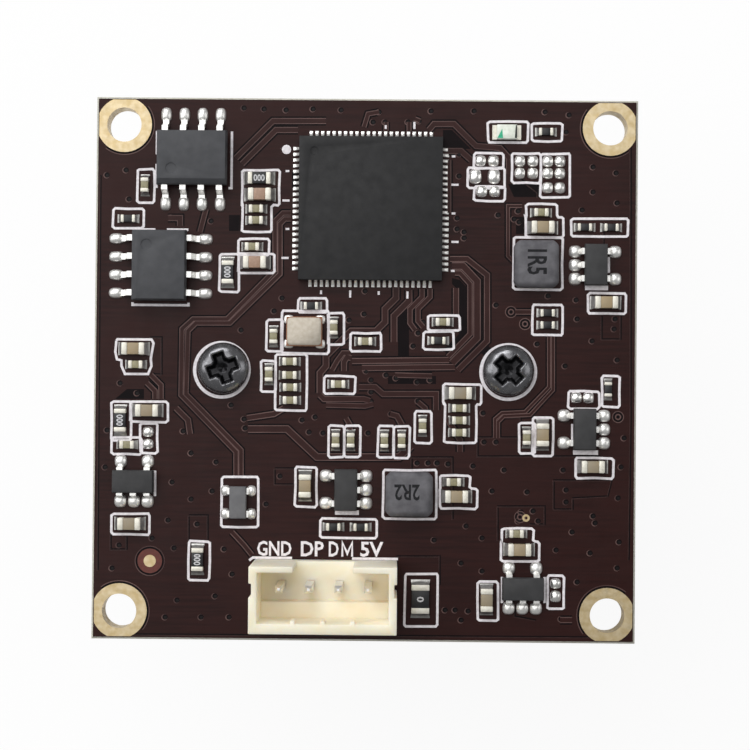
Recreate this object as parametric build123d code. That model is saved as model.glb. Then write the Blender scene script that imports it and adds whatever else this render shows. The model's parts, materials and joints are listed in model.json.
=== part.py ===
from build123d import *
import os
from math import radians, tan

# Camera module: a square circuit board with its parts on one face, and a screwed-on
# lens holder with a focusing M12 lens on the other.
# Frame: origin at the centre of the four corner holes, in the component face.
# +Z points out of the component face, away from the lens. +X and +Y follow the board's sides.

# Board
BOARD_SIDE = 38.0
BOARD_T = 1.6
SCORE_DEPTH = 0.5
SCORE_ANGLE = 20.0
HOLE_INSET = 2.0
HOLE_D = 2.4
PLATING_T = 0.05
RING_D = 3.86
RING_EDGE_GAP = 0.06
GOLD_T = 0.03

# Screws that hold the lens holder
SCREW_PITCH = 20.0
SCREW_D = 2.0
SCREW_LENGTH = 6.0
SCREW_HOLE_D = 2.4
SCREW_HEAD_D = 3.55
SCREW_HEAD_H = 1.3
SCREW_RECESS_SPAN = 2.2
SCREW_RECESS_W = 0.62
SCREW_RECESS_HUB = 1.05
SCREW_RECESS_DEPTH = 0.8
SCREW_CROWN_D = 2.1
SCREW_RIM_H = 0.65
SCREW_DRIFT = 0.14
PILOT_CLEARANCE = 0.02
LEFT_RECESS_TURN = 20.0
RIGHT_RECESS_TURN = 45.0

# Four-pin header
HEADER_X, HEADER_INSET = -2.6, 3.45
HEADER_L, HEADER_W, HEADER_H = 9.9, 4.5, 6.0
HEADER_WALL, HEADER_SLOT_WALL, HEADER_RIB_WALL = 0.55, 0.42, 0.68
HEADER_FLOOR = 1.2
HEADER_LEDGE, HEADER_LEDGE_GAP = 1.0, 1.1
HEADER_SLOT_W = 4.0
HEADER_GROOVE_W, HEADER_GROOVE_DEPTH = 0.9, 0.18
HEADER_RIB_W, HEADER_RIB_DEPTH, HEADER_RIB_H = 0.3, 0.22, 1.6
PIN_COUNT = 4
PIN_PITCH = 2.0
PIN_SIDE = 0.5
PIN_ROW_OFFSET = 0.65
PIN_TOP = 5.0
PIN_POINT, PIN_POINT_ANGLE = 0.35, 25.0
PIN_TAIL = 1.3
PIN_HOLE_D = 0.8

# Processor, a square package with lands on all four sides
CPU_PLACE = [0.3, 11.2]
CPU_SIDE, CPU_H = 10.0, 0.85
CPU_STANDOFF = 0.05
CPU_PITCH, CPU_PER_SIDE = 0.4, 22
CPU_LAND_W, CPU_LAND_OUT, CPU_LAND_H = 0.22, 0.45, 0.3
CPU_DOT_INSET, CPU_DOT_D = 1.05, 0.55

# Eight-lead memories
MEMORY_L, MEMORY_W, MEMORY_H = 4.9, 3.8, 1.6
MEMORY_BEVEL = 0.3
MEMORY_SPAN, MEMORY_PITCH = 6.0, 1.27
MEMORY_LEAD_W, MEMORY_LEAD_T, MEMORY_FOOT = 0.42, 0.22, 0.6
MEMORY_PLACES = [(-12.15, 14.6, 0), (-14.35, 7.1, -90)]

# Five-lead regulators
REG_L, REG_W, REG_H = 2.9, 1.6, 1.1
REG_SPAN, REG_PITCH = 2.8, 0.95
REG_LEAD_W, REG_LEAD_T, REG_FOOT = 0.42, 0.15, 0.4
REG_PLACES = [(-16.05, -7.95, 0), (-1.25, -8.4, 90), (15.3, -4.05, 90), (16.0, 7.4, -90), (11.1, -15.15, 0)]

# Four-lead diode array
DIODE_L, DIODE_W, DIODE_H = 2.25, 1.2, 0.8
DIODE_SPAN, DIODE_PITCH = 1.75, 1.6
DIODE_LEAD_W, DIODE_LEAD_T, DIODE_FOOT = 0.45, 0.12, 0.12
DIODE_PLACE = [-8.75, -9.35]

# Shared package details
BODY_DRAFT = 8.0
BODY_STANDOFF = 0.1
DOT_DEPTH = 0.05
LEAD_ROOT_SHARE = 0.4
MEMORY_DOT_D, MEMORY_DOT_INSET = 0.75, 1.07

# Crystal
CRYSTAL_PLACE = [-4.25, 2.6]
CRYSTAL_L, CRYSTAL_W, CRYSTAL_BASE_H = 2.5, 2.05, 0.45
CRYSTAL_LID_H, CRYSTAL_LID_INSET, CRYSTAL_LID_CORNER = 0.15, 0.06, 0.25

# Power inductors
COIL_L, COIL_W, COIL_H = 3.3, 3.1, 1.4
COIL_CORNER, COIL_TOP_CHAMFER = 0.35, 0.3
COIL_TERMINAL_L, COIL_TERMINAL_W, COIL_TERMINAL_T = 0.8, 2.2, 0.1
COIL_PLACES = [(11.85, 7.4, 90), (3.15, -8.65, 0)]

# Indicator light
LED_PLACE = [9.75, 16.62]
LED_L, LED_W, LED_BASE_H, LED_LENS_H, LED_LENS_L = 2.0, 1.0, 0.3, 0.4, 1.4
LED_TERMINAL_L = 0.3

# Chip capacitors and resistors: length, width, height, terminal length
CHIP_PROUD = 0.02
CAP_SMALL = (1.0, 0.55, 0.5, 0.27)
CAP_LARGE = (1.6, 0.85, 0.8, 0.4)
RES_SMALL = (1.0, 0.52, 0.35, 0.22)
RES_LARGE = (1.6, 0.82, 0.45, 0.32)
RES_JUMPER = (2.0, 1.25, 0.5, 0.4)

CAP_SMALL_PLACES = [
    (-15.5, 12.75, 90), (-16.0, 0.2, 0), (-16.55, -5.4, 0), (-7.7, 11.15, 0), (-7.7, 10.35, 0),
    (-7.95, 8.5, 0), (-6.4, 2.25, 90), (-2.2, 2.9, 90), (-6.7, -0.4, 90), (-5.25, 0.5, 0),
    (-5.25, -0.45, 0), (-5.2, -1.3, 0), (-5.2, -2.2, 0), (0.0, 1.95, 0), (-1.85, -1.05, 0),
    (-2.0, -4.95, 90), (-0.95, -4.95, 90), (1.4, -4.95, 90), (2.6, -4.95, 90), (4.05, -3.9, 90),
    (6.25, -7.8, 0), (12.2, 11.05, 0), (5.4, 3.35, 0), (6.6, -2.65, 0), (6.6, -3.5, 0),
    (6.6, -4.35, 0), (11.3, -4.65, 90), (10.65, -11.35, 0)]
CAP_LARGE_PLACES = [
    (-16.15, 1.3, 0), (-15.15, -3.0, 0), (-16.3, -10.9, 0), (-7.45, 12.15, 0), (-7.75, 7.4, 0),
    (-4.1, -8.15, 90), (6.45, -8.8, 0), (12.3, 10.0, 0), (16.75, 4.8, 0), (6.65, -1.6, 0),
    (12.4, -4.45, 90), (15.9, -6.65, 0), (10.85, -12.45, 0), (8.6, -15.95, 90)]
RES_SMALL_PLACES = [
    (-16.65, 10.4, 0), (-3.8, 4.4, 0), (-2.1, -11.0, 0), (-0.2, -11.0, 0), (12.5, 16.7, 0),
    (15.25, 10.05, 0), (17.1, 10.05, 0), (12.7, 4.05, 0), (12.7, 3.2, 0), (5.1, 2.05, 0),
    (16.95, -1.25, 90)]
RES_LARGE_PLACES = [(-7.5, 13.3, 0), (-17.05, -3.7, 90), (-11.55, -13.35, 90), (-9.65, 6.7, 90)]
RES_JUMPER_PLACES = [(4.0, -15.95, 90)]

# Lands with no part on them: centre, width and height
BARE_LAND_H = 0.1
BARE_LANDS = [
    (7.95, 14.65, 0.6, 0.6), (8.85, 14.65, 0.6, 0.6), (7.6, 13.55, 0.7, 0.85), (8.9, 13.55, 0.7, 0.85),
    (8.05, 12.5, 0.6, 0.6), (8.95, 12.5, 0.6, 0.6), (10.7, 14.65, 0.58, 0.6), (11.6, 14.65, 0.58, 0.6),
    (10.7, 13.8, 0.58, 0.6), (11.6, 13.8, 0.58, 0.6), (12.65, 14.65, 0.58, 0.6), (13.5, 14.65, 0.58, 0.6),
    (12.65, 13.8, 0.58, 0.6), (13.5, 13.8, 0.58, 0.6), (12.65, 12.8, 0.58, 0.6), (13.5, 12.8, 0.58, 0.6),
    (14.75, -1.85, 0.6, 0.6), (15.6, -1.85, 0.6, 0.6), (13.4, -14.8, 0.6, 0.55), (13.4, -15.7, 0.6, 0.65),
    (-15.1, -4.5, 0.6, 0.55), (-15.1, -5.35, 0.6, 0.55)]
FIDUCIAL_PLACE = [-14.9, -13.5]
FIDUCIAL_D = 0.85

# Lens holder
HOLDER_SIDE = 16.0
HOLDER_BASE_H = 5.0
HOLDER_H = 12.0
HOLDER_CORNER = 1.6
HOLDER_TOWER_D = 15.0
HOLDER_EAR_D = 5.2
HOLDER_CAVITY_SIDE = 12.0
HOLDER_CAVITY_DEPTH = 3.0
HOLDER_WEB = 0.8
THREAD_BORE_D = 12.0

# Sensor and filter
SENSOR_SIDE, SENSOR_H = 8.4, 1.1
SENSOR_POCKET_SIDE, SENSOR_POCKET_DEPTH = 6.6, 0.7
SENSOR_DIE_L, SENSOR_DIE_W, SENSOR_DIE_T = 6.2, 4.2, 0.4
SENSOR_GLASS_SIDE, SENSOR_GLASS_T = 7.8, 0.4
FILTER_SIDE, FILTER_T, FILTER_WINDOW = 8.5, 0.4, 7.0
FILTER_CLEARANCE = 0.05

# Lens
LENS_LENGTH = 16.0
LENS_STAND_OUT = 9.0
LENS_THREAD_D = 11.9
LENS_HEAD_D, LENS_HEAD_L = 14.0, 6.0
LENS_HOOD_D, LENS_HOOD_DEPTH = 10.8, 1.8
FRONT_GLASS_D, FRONT_GLASS_T, FRONT_GLASS_DOME = 6.6, 2.4, 0.4
RETAINER_W, RETAINER_T = 0.7, 0.8
LENS_STOP_D = 4.4
REAR_GLASS_D, REAR_GLASS_T = 6.2, 1.6
GLASS_CLEARANCE = 0.02

# Derived places
HOLE_PITCH = BOARD_SIDE - 2 * HOLE_INSET
HOLE_R = HOLE_D / 2
BOARD_BACK = -BOARD_T
HOLDER_BASE_Z = BOARD_BACK - HOLDER_BASE_H
HOLDER_FRONT_Z = BOARD_BACK - HOLDER_H
WEB_Z = BOARD_BACK - HOLDER_CAVITY_DEPTH
THREAD_Z = WEB_Z - HOLDER_WEB
LENS_FRONT_Z = HOLDER_FRONT_Z - LENS_STAND_OUT
LENS_REAR_Z = LENS_FRONT_Z + LENS_LENGTH
LEFT_SCREW_X = -SCREW_PITCH / 2 + SCREW_DRIFT
RIGHT_SCREW_X = SCREW_PITCH / 2
HEADER_Y = HEADER_INSET - BOARD_SIDE / 2
PIN_Y = HEADER_Y + PIN_ROW_OFFSET
# Places are read on a board 38 mm wide, and spread with the board
SPREAD = BOARD_SIDE / 38


def at(x, y, z=0.0, turn=0.0):
    """A place on the board, turned about +Z."""
    return Location((x, y, z), (0, 0, turn))


def placed(x, y, turn=0.0):
    """A part's place, spread with the board."""
    return at(x * SPREAD, y * SPREAD, 0, turn)


def block(length, width, bottom, top):
    """A rectangular block centred in plan, from one height to another."""
    return extrude(Plane.XY.offset(bottom) * Rectangle(length, width), top - bottom)


def disc(diameter, bottom, top):
    """A round plug on the Z axis, from one height to another."""
    return extrude(Plane.XY.offset(bottom) * Circle(diameter / 2), top - bottom)


def spun(points):
    """A solid of revolution about Z, from a list of radius and height."""
    outline = Polyline(*[(r, 0, z) for r, z in points], close=True)
    return revolve(make_face(outline), Axis.Z)


def pin_places():
    """The header's pins along X, from left to right."""
    first = HEADER_X - PIN_PITCH * (PIN_COUNT - 1) / 2
    return [first + PIN_PITCH * i for i in range(PIN_COUNT)]


def corner_places():
    """The four corner holes."""
    half = HOLE_PITCH / 2
    return [(sx * half, sy * half) for sx in (-1, 1) for sy in (-1, 1)]


# Board


def circuit_board():
    """The laminate: V-scored edges, drilled corner, screw and pin holes."""
    square = Rectangle(BOARD_SIDE, BOARD_SIDE)
    board = extrude(Plane.XY.offset(-SCORE_DEPTH) * square, -(BOARD_T - 2 * SCORE_DEPTH))
    board += extrude(Plane.XY.offset(-SCORE_DEPTH) * square, SCORE_DEPTH, taper=SCORE_ANGLE)
    lower = Plane((0, 0, BOARD_BACK + SCORE_DEPTH), x_dir=(1, 0, 0), z_dir=(0, 0, -1))
    board += extrude(lower * square, SCORE_DEPTH, taper=SCORE_ANGLE)
    for x, y in corner_places():
        board -= at(x, y) * disc(HOLE_D + 2 * PLATING_T, BOARD_BACK, 0)
    for x in (-SCREW_PITCH / 2, SCREW_PITCH / 2):
        board -= at(x, 0) * disc(SCREW_HOLE_D, BOARD_BACK, 0)
    for x in pin_places():
        board -= at(x, PIN_Y) * disc(PIN_HOLE_D, BOARD_BACK, 0)
    return board


def corner_rings():
    """Plating of the corner holes and their rims, cut flat where they near the board's edge."""
    face_side = BOARD_SIDE - 2 * (SCORE_DEPTH * tan(radians(SCORE_ANGLE)) + RING_EDGE_GAP)
    keep = block(face_side, face_side, BOARD_BACK, PLATING_T)
    drilled = HOLE_R + PLATING_T
    ring = spun([(HOLE_R, PLATING_T), (RING_D / 2, PLATING_T), (RING_D / 2, 0), (drilled, 0),
                 (drilled, BOARD_BACK), (HOLE_R, BOARD_BACK)])
    return [(at(x, y) * ring) & keep for x, y in corner_places()]


def bare_lands():
    """Tinned lands left without a part."""
    return [placed(x, y) * block(w, h, 0, BARE_LAND_H) for x, y, w, h in BARE_LANDS]


def fiducial():
    """Gold alignment dot."""
    return [placed(*FIDUCIAL_PLACE) * disc(FIDUCIAL_D, 0, GOLD_T)]


# Packages with leads


def moulded_body(length, width, height, lead_z, lead_t):
    """A moulded package: drafted above and below the band that the leads leave from."""
    band = Rectangle(length, width)
    body = extrude(Plane.XY.offset(lead_z) * band, lead_t)
    body += extrude(Plane.XY.offset(lead_z + lead_t) * band, height - lead_z - lead_t, taper=BODY_DRAFT)
    down = Plane((0, 0, lead_z), x_dir=(1, 0, 0), z_dir=(0, 0, -1))
    return body + extrude(down * band, lead_z - BODY_STANDOFF, taper=BODY_DRAFT)


def gull_lead(reach, foot, width, lead_z, lead_t):
    """A lead that leaves along +X at the origin, bends down and ends in a foot on the board."""
    knee = reach - foot - lead_t / 2
    bend = (reach - foot - lead_t) * LEAD_ROOT_SHARE
    points = [(0, lead_z + lead_t), (bend + lead_t, lead_z + lead_t), (knee + lead_t, lead_t),
              (reach, lead_t), (reach, 0), (knee, 0), (bend, lead_z), (0, lead_z)]
    face = make_face(Polyline(*[(x, 0, z) for x, z in points], close=True))
    return extrude(face, width / 2, both=True)


def lead_sides(length_pitch, top_slots, bottom_slots):
    """Offsets along the body of the leads on its +Y side and on its -Y side."""
    return [(i * length_pitch, 90) for i in top_slots] + [(i * length_pitch, -90) for i in bottom_slots]


def lead_set(slots, body_w, span, foot, width, lead_z, lead_t, place):
    """All leads of one package."""
    lead = gull_lead((span - body_w) / 2, foot, width, lead_z, lead_t)
    leads = []
    for along, side in slots:
        edge = Location((along, body_w / 2 if side > 0 else -body_w / 2, 0), (0, 0, side))
        leads.append(place * edge * lead)
    return leads


def memory(place):
    """Eight-lead memory: body with its index dot and the bevel on that side, four leads a side."""
    lead_z = MEMORY_H / 2
    body = moulded_body(MEMORY_L, MEMORY_W, MEMORY_H, lead_z, MEMORY_LEAD_T)
    body = chamfer(body.faces().sort_by(Axis.Z)[-1].edges().sort_by(Axis.Y)[0], MEMORY_BEVEL)
    dot_x, dot_y = MEMORY_L / 2 - MEMORY_DOT_INSET, MEMORY_W / 2 - MEMORY_DOT_INSET
    body -= Pos(-dot_x, -dot_y) * disc(MEMORY_DOT_D, MEMORY_H - DOT_DEPTH, MEMORY_H)
    slots = lead_sides(MEMORY_PITCH, (-1.5, -0.5, 0.5, 1.5), (-1.5, -0.5, 0.5, 1.5))
    leads = lead_set(slots, MEMORY_W, MEMORY_SPAN, MEMORY_FOOT, MEMORY_LEAD_W, lead_z, MEMORY_LEAD_T, place)
    return place * body, leads


def regulator(place):
    """Five-lead regulator: two leads on its +Y side and three on its -Y side."""
    lead_z = REG_H / 2
    body = moulded_body(REG_L, REG_W, REG_H, lead_z, REG_LEAD_T)
    slots = lead_sides(REG_PITCH, (-1, 1), (-1, 0, 1))
    leads = lead_set(slots, REG_W, REG_SPAN, REG_FOOT, REG_LEAD_W, lead_z, REG_LEAD_T, place)
    return place * body, leads


def diode_array(place):
    """Small four-lead protection array."""
    lead_z = DIODE_H / 2
    body = moulded_body(DIODE_L, DIODE_W, DIODE_H, lead_z, DIODE_LEAD_T)
    slots = lead_sides(DIODE_PITCH, (-0.5, 0.5), (-0.5, 0.5))
    leads = lead_set(slots, DIODE_W, DIODE_SPAN, DIODE_FOOT, DIODE_LEAD_W, lead_z, DIODE_LEAD_T, place)
    return place * body, leads


# Processor


def processor_body():
    """Flat square package with its index dot."""
    body = block(CPU_SIDE, CPU_SIDE, CPU_STANDOFF, CPU_STANDOFF + CPU_H)
    top = CPU_STANDOFF + CPU_H
    corner = CPU_SIDE / 2 - CPU_DOT_INSET
    body -= Pos(-corner, corner) * disc(CPU_DOT_D, top - DOT_DEPTH, top)
    return [placed(*CPU_PLACE) * body]


def processor_joints():
    """Soldered lands round the processor, each a wedge against the package's side."""
    slope = make_face(Polyline((0, 0, 0), (CPU_LAND_OUT, 0, 0), (0, 0, CPU_LAND_H), close=True))
    wedge = extrude(slope, CPU_LAND_W / 2, both=True)
    first = -CPU_PITCH * (CPU_PER_SIDE - 1) / 2
    joints = []
    for side in range(4):
        for i in range(CPU_PER_SIDE):
            spot = Rot(0, 0, 90 * side) * Pos(CPU_SIDE / 2, first + CPU_PITCH * i)
            joints.append(placed(*CPU_PLACE) * spot * wedge)
    return joints


# Two-terminal chips


def chip_set(size, places):
    """Bodies and terminals of one size of chip."""
    length, width, height, terminal = size
    core = block(length - 2 * terminal, width - 2 * CHIP_PROUD, CHIP_PROUD, height - CHIP_PROUD)
    end = Pos(length / 2 - terminal / 2, 0) * block(terminal, width, 0, height)
    bodies, ends = [], []
    for x, y, turn in places:
        bodies.append(placed(x, y, turn) * core)
        for flip in (0, 180):
            ends.append(placed(x, y, turn + flip) * end)
    return bodies, ends


# Crystal, inductors and light


def crystal_base():
    """Ceramic base of the crystal."""
    return [placed(*CRYSTAL_PLACE) * block(CRYSTAL_L, CRYSTAL_W, 0, CRYSTAL_BASE_H)]


def crystal_lid():
    """Seam-welded metal lid with rounded corners."""
    plan = RectangleRounded(CRYSTAL_L - 2 * CRYSTAL_LID_INSET, CRYSTAL_W - 2 * CRYSTAL_LID_INSET,
                            CRYSTAL_LID_CORNER)
    return [placed(*CRYSTAL_PLACE) * Pos(0, 0, CRYSTAL_BASE_H) * extrude(plan, CRYSTAL_LID_H)]


def coil_body(place):
    """Shielded inductor: a block with cut corners and a wide bevel round its top."""
    body = block(COIL_L, COIL_W, COIL_TERMINAL_T, COIL_H)
    body = chamfer(body.edges().filter_by(Axis.Z), COIL_CORNER)
    body = chamfer(body.faces().sort_by(Axis.Z)[-1].edges(), COIL_TOP_CHAMFER)
    return place * body


def coil_terminals(place):
    """The inductor's two foot plates."""
    shift = (COIL_L - COIL_TERMINAL_L) / 2
    plate = block(COIL_TERMINAL_L, COIL_TERMINAL_W, 0, COIL_TERMINAL_T)
    return [place * Pos(-shift, 0) * plate, place * Pos(shift, 0) * plate]


def led_body():
    """White carrier with its clear block on top."""
    carrier = block(LED_L - 2 * LED_TERMINAL_L, LED_W, CHIP_PROUD, LED_BASE_H)
    lens = block(LED_LENS_L, LED_W, LED_BASE_H, LED_BASE_H + LED_LENS_H)
    return [placed(*LED_PLACE) * (carrier + lens)]


def led_terminals():
    """Metal ends of the light."""
    shift = (LED_L - LED_TERMINAL_L) / 2
    end = block(LED_TERMINAL_L, LED_W, 0, LED_BASE_H)
    return [placed(*LED_PLACE) * Pos(dx, 0) * end for dx in (-shift, shift)]


# Header


def header_housing():
    """Open-topped moulding: latch slot, side grooves, stepped floor, ribs and pin holes."""
    inside_l = HEADER_L - 2 * HEADER_WALL
    south, north = HEADER_RIB_WALL - HEADER_W / 2, HEADER_W / 2 - HEADER_SLOT_WALL
    ledge_y = PIN_ROW_OFFSET - HEADER_LEDGE_GAP
    body = block(HEADER_L, HEADER_W, 0, HEADER_H)
    body -= Pos(0, (south + north) / 2) * block(inside_l, north - south, HEADER_FLOOR, HEADER_H)
    ledge = block(inside_l, ledge_y - south, HEADER_FLOOR, HEADER_FLOOR + HEADER_LEDGE)
    body += Pos(0, (south + ledge_y) / 2) * ledge
    body -= Pos(0, HEADER_W / 2) * block(HEADER_SLOT_W, 2 * HEADER_SLOT_WALL, HEADER_FLOOR, HEADER_H)
    groove = block(2 * HEADER_GROOVE_DEPTH, HEADER_GROOVE_W, 0, HEADER_H)
    for side in (-1, 1):
        body -= Pos(side * HEADER_L / 2, PIN_ROW_OFFSET) * groove
    rib = block(HEADER_RIB_W, HEADER_RIB_DEPTH, HEADER_H - HEADER_RIB_H, HEADER_H)
    for i in range(1, PIN_COUNT):
        body += Pos(PIN_PITCH * (i - PIN_COUNT / 2), south + HEADER_RIB_DEPTH / 2) * rib
    body = at(HEADER_X, HEADER_Y) * body
    for x in pin_places():
        body -= at(x, PIN_Y) * block(PIN_SIDE, PIN_SIDE, 0, HEADER_FLOOR)
    return [body]


def header_pin(x):
    """Square pin with pointed ends, through the housing's floor and the board."""
    shank_top, shank_end = PIN_TOP - PIN_POINT, BOARD_BACK - PIN_TAIL
    pin = block(PIN_SIDE, PIN_SIDE, shank_end, shank_top)
    pin += extrude(Plane.XY.offset(shank_top) * Rectangle(PIN_SIDE, PIN_SIDE), PIN_POINT, taper=PIN_POINT_ANGLE)
    return [at(x, PIN_Y) * pin]


# Screws


def screw(x, turn):
    """Pan-head screw with a cross recess, its head resting on the board."""
    r, head_r = SCREW_D / 2, SCREW_HEAD_D / 2
    top = SCREW_HEAD_H
    profile = [(0, top), (SCREW_CROWN_D / 2, top), (head_r, SCREW_RIM_H), (head_r, 0), (r, 0),
               (r, -SCREW_LENGTH), (0, -SCREW_LENGTH)]
    body = spun(profile)
    arms = Rectangle(SCREW_RECESS_SPAN, SCREW_RECESS_W) + Rectangle(SCREW_RECESS_W, SCREW_RECESS_SPAN)
    arms += Rot(0, 0, 45) * Rectangle(SCREW_RECESS_HUB, SCREW_RECESS_HUB)
    down = Plane((0, 0, top), x_dir=(1, 0, 0), z_dir=(0, 0, -1))
    body -= extrude(down * arms, SCREW_RECESS_DEPTH)
    return [at(x, 0, 0, turn) * body]


# Hidden face


def lens_holder():
    """Moulded holder: square foot over the sensor, two screw ears, threaded tower."""
    foot = extrude(Plane.XY.offset(HOLDER_BASE_Z) * RectangleRounded(HOLDER_SIDE, HOLDER_SIDE, HOLDER_CORNER),
                   HOLDER_BASE_H)
    ears = SlotCenterToCenter(RIGHT_SCREW_X - LEFT_SCREW_X, HOLDER_EAR_D)
    middle = (LEFT_SCREW_X + RIGHT_SCREW_X) / 2
    body = foot + extrude(Plane.XY.offset(HOLDER_BASE_Z) * Pos(middle, 0) * ears, HOLDER_BASE_H)
    body += disc(HOLDER_TOWER_D, HOLDER_FRONT_Z, HOLDER_BASE_Z)
    body -= block(HOLDER_CAVITY_SIDE, HOLDER_CAVITY_SIDE, WEB_Z, BOARD_BACK)
    seat = FILTER_SIDE + 2 * FILTER_CLEARANCE
    body -= block(seat, seat, WEB_Z - FILTER_T, WEB_Z)
    body -= block(FILTER_WINDOW, FILTER_WINDOW, THREAD_Z, WEB_Z)
    body -= disc(THREAD_BORE_D, HOLDER_FRONT_Z, THREAD_Z)
    pilot_end = -SCREW_LENGTH - PILOT_CLEARANCE
    for x in (LEFT_SCREW_X, RIGHT_SCREW_X):
        body -= at(x, 0) * disc(SCREW_D + 2 * PILOT_CLEARANCE, pilot_end, BOARD_BACK)
    return [body]


def sensor_package():
    """Sensor carrier with the pocket that its die lies in."""
    front = BOARD_BACK - SENSOR_H
    body = block(SENSOR_SIDE, SENSOR_SIDE, front, BOARD_BACK)
    return [body - block(SENSOR_POCKET_SIDE, SENSOR_POCKET_SIDE, front, front + SENSOR_POCKET_DEPTH)]


def sensor_die():
    """Light-sensitive die on the pocket's floor."""
    floor = BOARD_BACK - SENSOR_H + SENSOR_POCKET_DEPTH
    return [block(SENSOR_DIE_L, SENSOR_DIE_W, floor - SENSOR_DIE_T, floor)]


def sensor_glass():
    """Cover glass over the pocket."""
    front = BOARD_BACK - SENSOR_H
    return [block(SENSOR_GLASS_SIDE, SENSOR_GLASS_SIDE, front - SENSOR_GLASS_T, front)]


def infrared_filter():
    """Square filter in its recess in the holder's web."""
    return [block(FILTER_SIDE, FILTER_SIDE, WEB_Z - FILTER_T, WEB_Z)]


def lens_levels():
    """Heights inside the lens, counted back from its front face."""
    ring_front = LENS_FRONT_Z + LENS_HOOD_DEPTH
    glass_front = ring_front + RETAINER_T
    return ring_front, glass_front, glass_front + FRONT_GLASS_T


def lens_barrel():
    """Turned barrel: threaded body, wide head, hood, glass seats front and rear."""
    ring_front, _, shoulder = lens_levels()
    thread_r, head_r, hood_r = LENS_THREAD_D / 2, LENS_HEAD_D / 2, LENS_HOOD_D / 2
    seat_r = FRONT_GLASS_D / 2 + GLASS_CLEARANCE
    rear_r = REAR_GLASS_D / 2 + GLASS_CLEARANCE
    stop_r = LENS_STOP_D / 2
    head_z = LENS_FRONT_Z + LENS_HEAD_L
    rear_seat = LENS_REAR_Z - REAR_GLASS_T
    profile = [(hood_r, LENS_FRONT_Z), (head_r, LENS_FRONT_Z), (head_r, head_z), (thread_r, head_z),
               (thread_r, LENS_REAR_Z), (rear_r, LENS_REAR_Z), (rear_r, rear_seat), (stop_r, rear_seat),
               (stop_r, shoulder), (seat_r, shoulder), (seat_r, ring_front), (hood_r, ring_front)]
    return [spun(profile)]


def lens_retainer():
    """Ring that holds the front glass in the barrel."""
    ring_front, glass_front, _ = lens_levels()
    outer = FRONT_GLASS_D / 2 + GLASS_CLEARANCE
    inner = FRONT_GLASS_D / 2 - RETAINER_W
    return [spun([(inner, ring_front), (outer, ring_front), (outer, glass_front), (inner, glass_front)])]


def front_glass():
    """Front element: a disc with a domed face that stands through its ring."""
    _, glass_front, shoulder = lens_levels()
    dome_r = FRONT_GLASS_D / 2 - RETAINER_W - GLASS_CLEARANCE
    ball_r = (dome_r ** 2 + FRONT_GLASS_DOME ** 2) / (2 * FRONT_GLASS_DOME)
    ball = Pos(0, 0, glass_front - FRONT_GLASS_DOME + ball_r) * Sphere(ball_r)
    dome = ball & disc(2 * dome_r, glass_front - FRONT_GLASS_DOME, glass_front)
    return [disc(FRONT_GLASS_D, glass_front, shoulder) + dome]


def rear_glass():
    """Rear element in the barrel's rear seat."""
    return [disc(REAR_GLASS_D, LENS_REAR_Z - REAR_GLASS_T, LENS_REAR_Z)]


# Assembly


def save(name, solids):
    """Write one node as one file."""
    shapes = solids if isinstance(solids, list) else [solids]
    pieces = [piece for shape in shapes for piece in shape.solids()]
    export_step(Compound(children=pieces) if len(pieces) > 1 else pieces[0], f"parts/{name}.step")


def chips():
    """Bodies and terminals of every chip, one pair of nodes for each size."""
    sets = [("capacitor_small", CAP_SMALL, CAP_SMALL_PLACES), ("capacitor_large", CAP_LARGE, CAP_LARGE_PLACES),
            ("resistor_small", RES_SMALL, RES_SMALL_PLACES), ("resistor_large", RES_LARGE, RES_LARGE_PLACES),
            ("jumper_resistor", RES_JUMPER, RES_JUMPER_PLACES)]
    nodes = {}
    for name, size, places in sets:
        nodes[f"{name}_bodies"], nodes[f"{name}_ends"] = chip_set(size, places)
    return nodes


def packages():
    """Every package with leads, its body and its leads."""
    nodes = {"processor_body": processor_body(), "processor_joints": processor_joints()}
    for i, (x, y, turn) in enumerate(MEMORY_PLACES, 1):
        nodes[f"memory_{i}_body"], nodes[f"memory_{i}_leads"] = memory(placed(x, y, turn))
    for i, (x, y, turn) in enumerate(REG_PLACES, 1):
        nodes[f"regulator_{i}_body"], nodes[f"regulator_{i}_leads"] = regulator(placed(x, y, turn))
    nodes["diode_array_body"], nodes["diode_array_leads"] = diode_array(placed(*DIODE_PLACE, 90))
    return nodes


def power_parts():
    """Crystal, inductors and light."""
    nodes = {"crystal_base": crystal_base(), "crystal_lid": crystal_lid(),
             "status_light_body": led_body(), "status_light_terminals": led_terminals()}
    for i, (x, y, turn) in enumerate(COIL_PLACES, 1):
        nodes[f"inductor_{i}_body"] = coil_body(placed(x, y, turn))
        nodes[f"inductor_{i}_terminals"] = coil_terminals(placed(x, y, turn))
    return nodes


def hardware():
    """Header with its pins, and the two screws."""
    nodes = {"header_housing": header_housing(), "screw_left": screw(LEFT_SCREW_X, LEFT_RECESS_TURN),
             "screw_right": screw(RIGHT_SCREW_X, RIGHT_RECESS_TURN)}
    for i, x in enumerate(pin_places(), 1):
        nodes[f"header_pin_{i}"] = header_pin(x)
    return nodes


def optics():
    """Holder, sensor, filter and lens."""
    return {"lens_holder": lens_holder(), "sensor_package": sensor_package(), "sensor_die": sensor_die(),
            "sensor_glass": sensor_glass(), "infrared_filter": infrared_filter(),
            "lens_barrel": lens_barrel(), "lens_retainer": lens_retainer(),
            "lens_front_glass": front_glass(), "lens_rear_glass": rear_glass()}


def build():
    """Every sub-part by name."""
    board = {"circuit_board": circuit_board(), "corner_rings": corner_rings(),
             "bare_lands": bare_lands(), "fiducial_mark": fiducial()}
    return {**board, **packages(), **chips(), **power_parts(), **hardware(), **optics()}


os.makedirs("parts", exist_ok=True)
for node, solids in build().items():
    save(node, solids)
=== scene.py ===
import bpy
import bmesh
import json
import math
import random
from mathutils import Matrix, Vector

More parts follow.
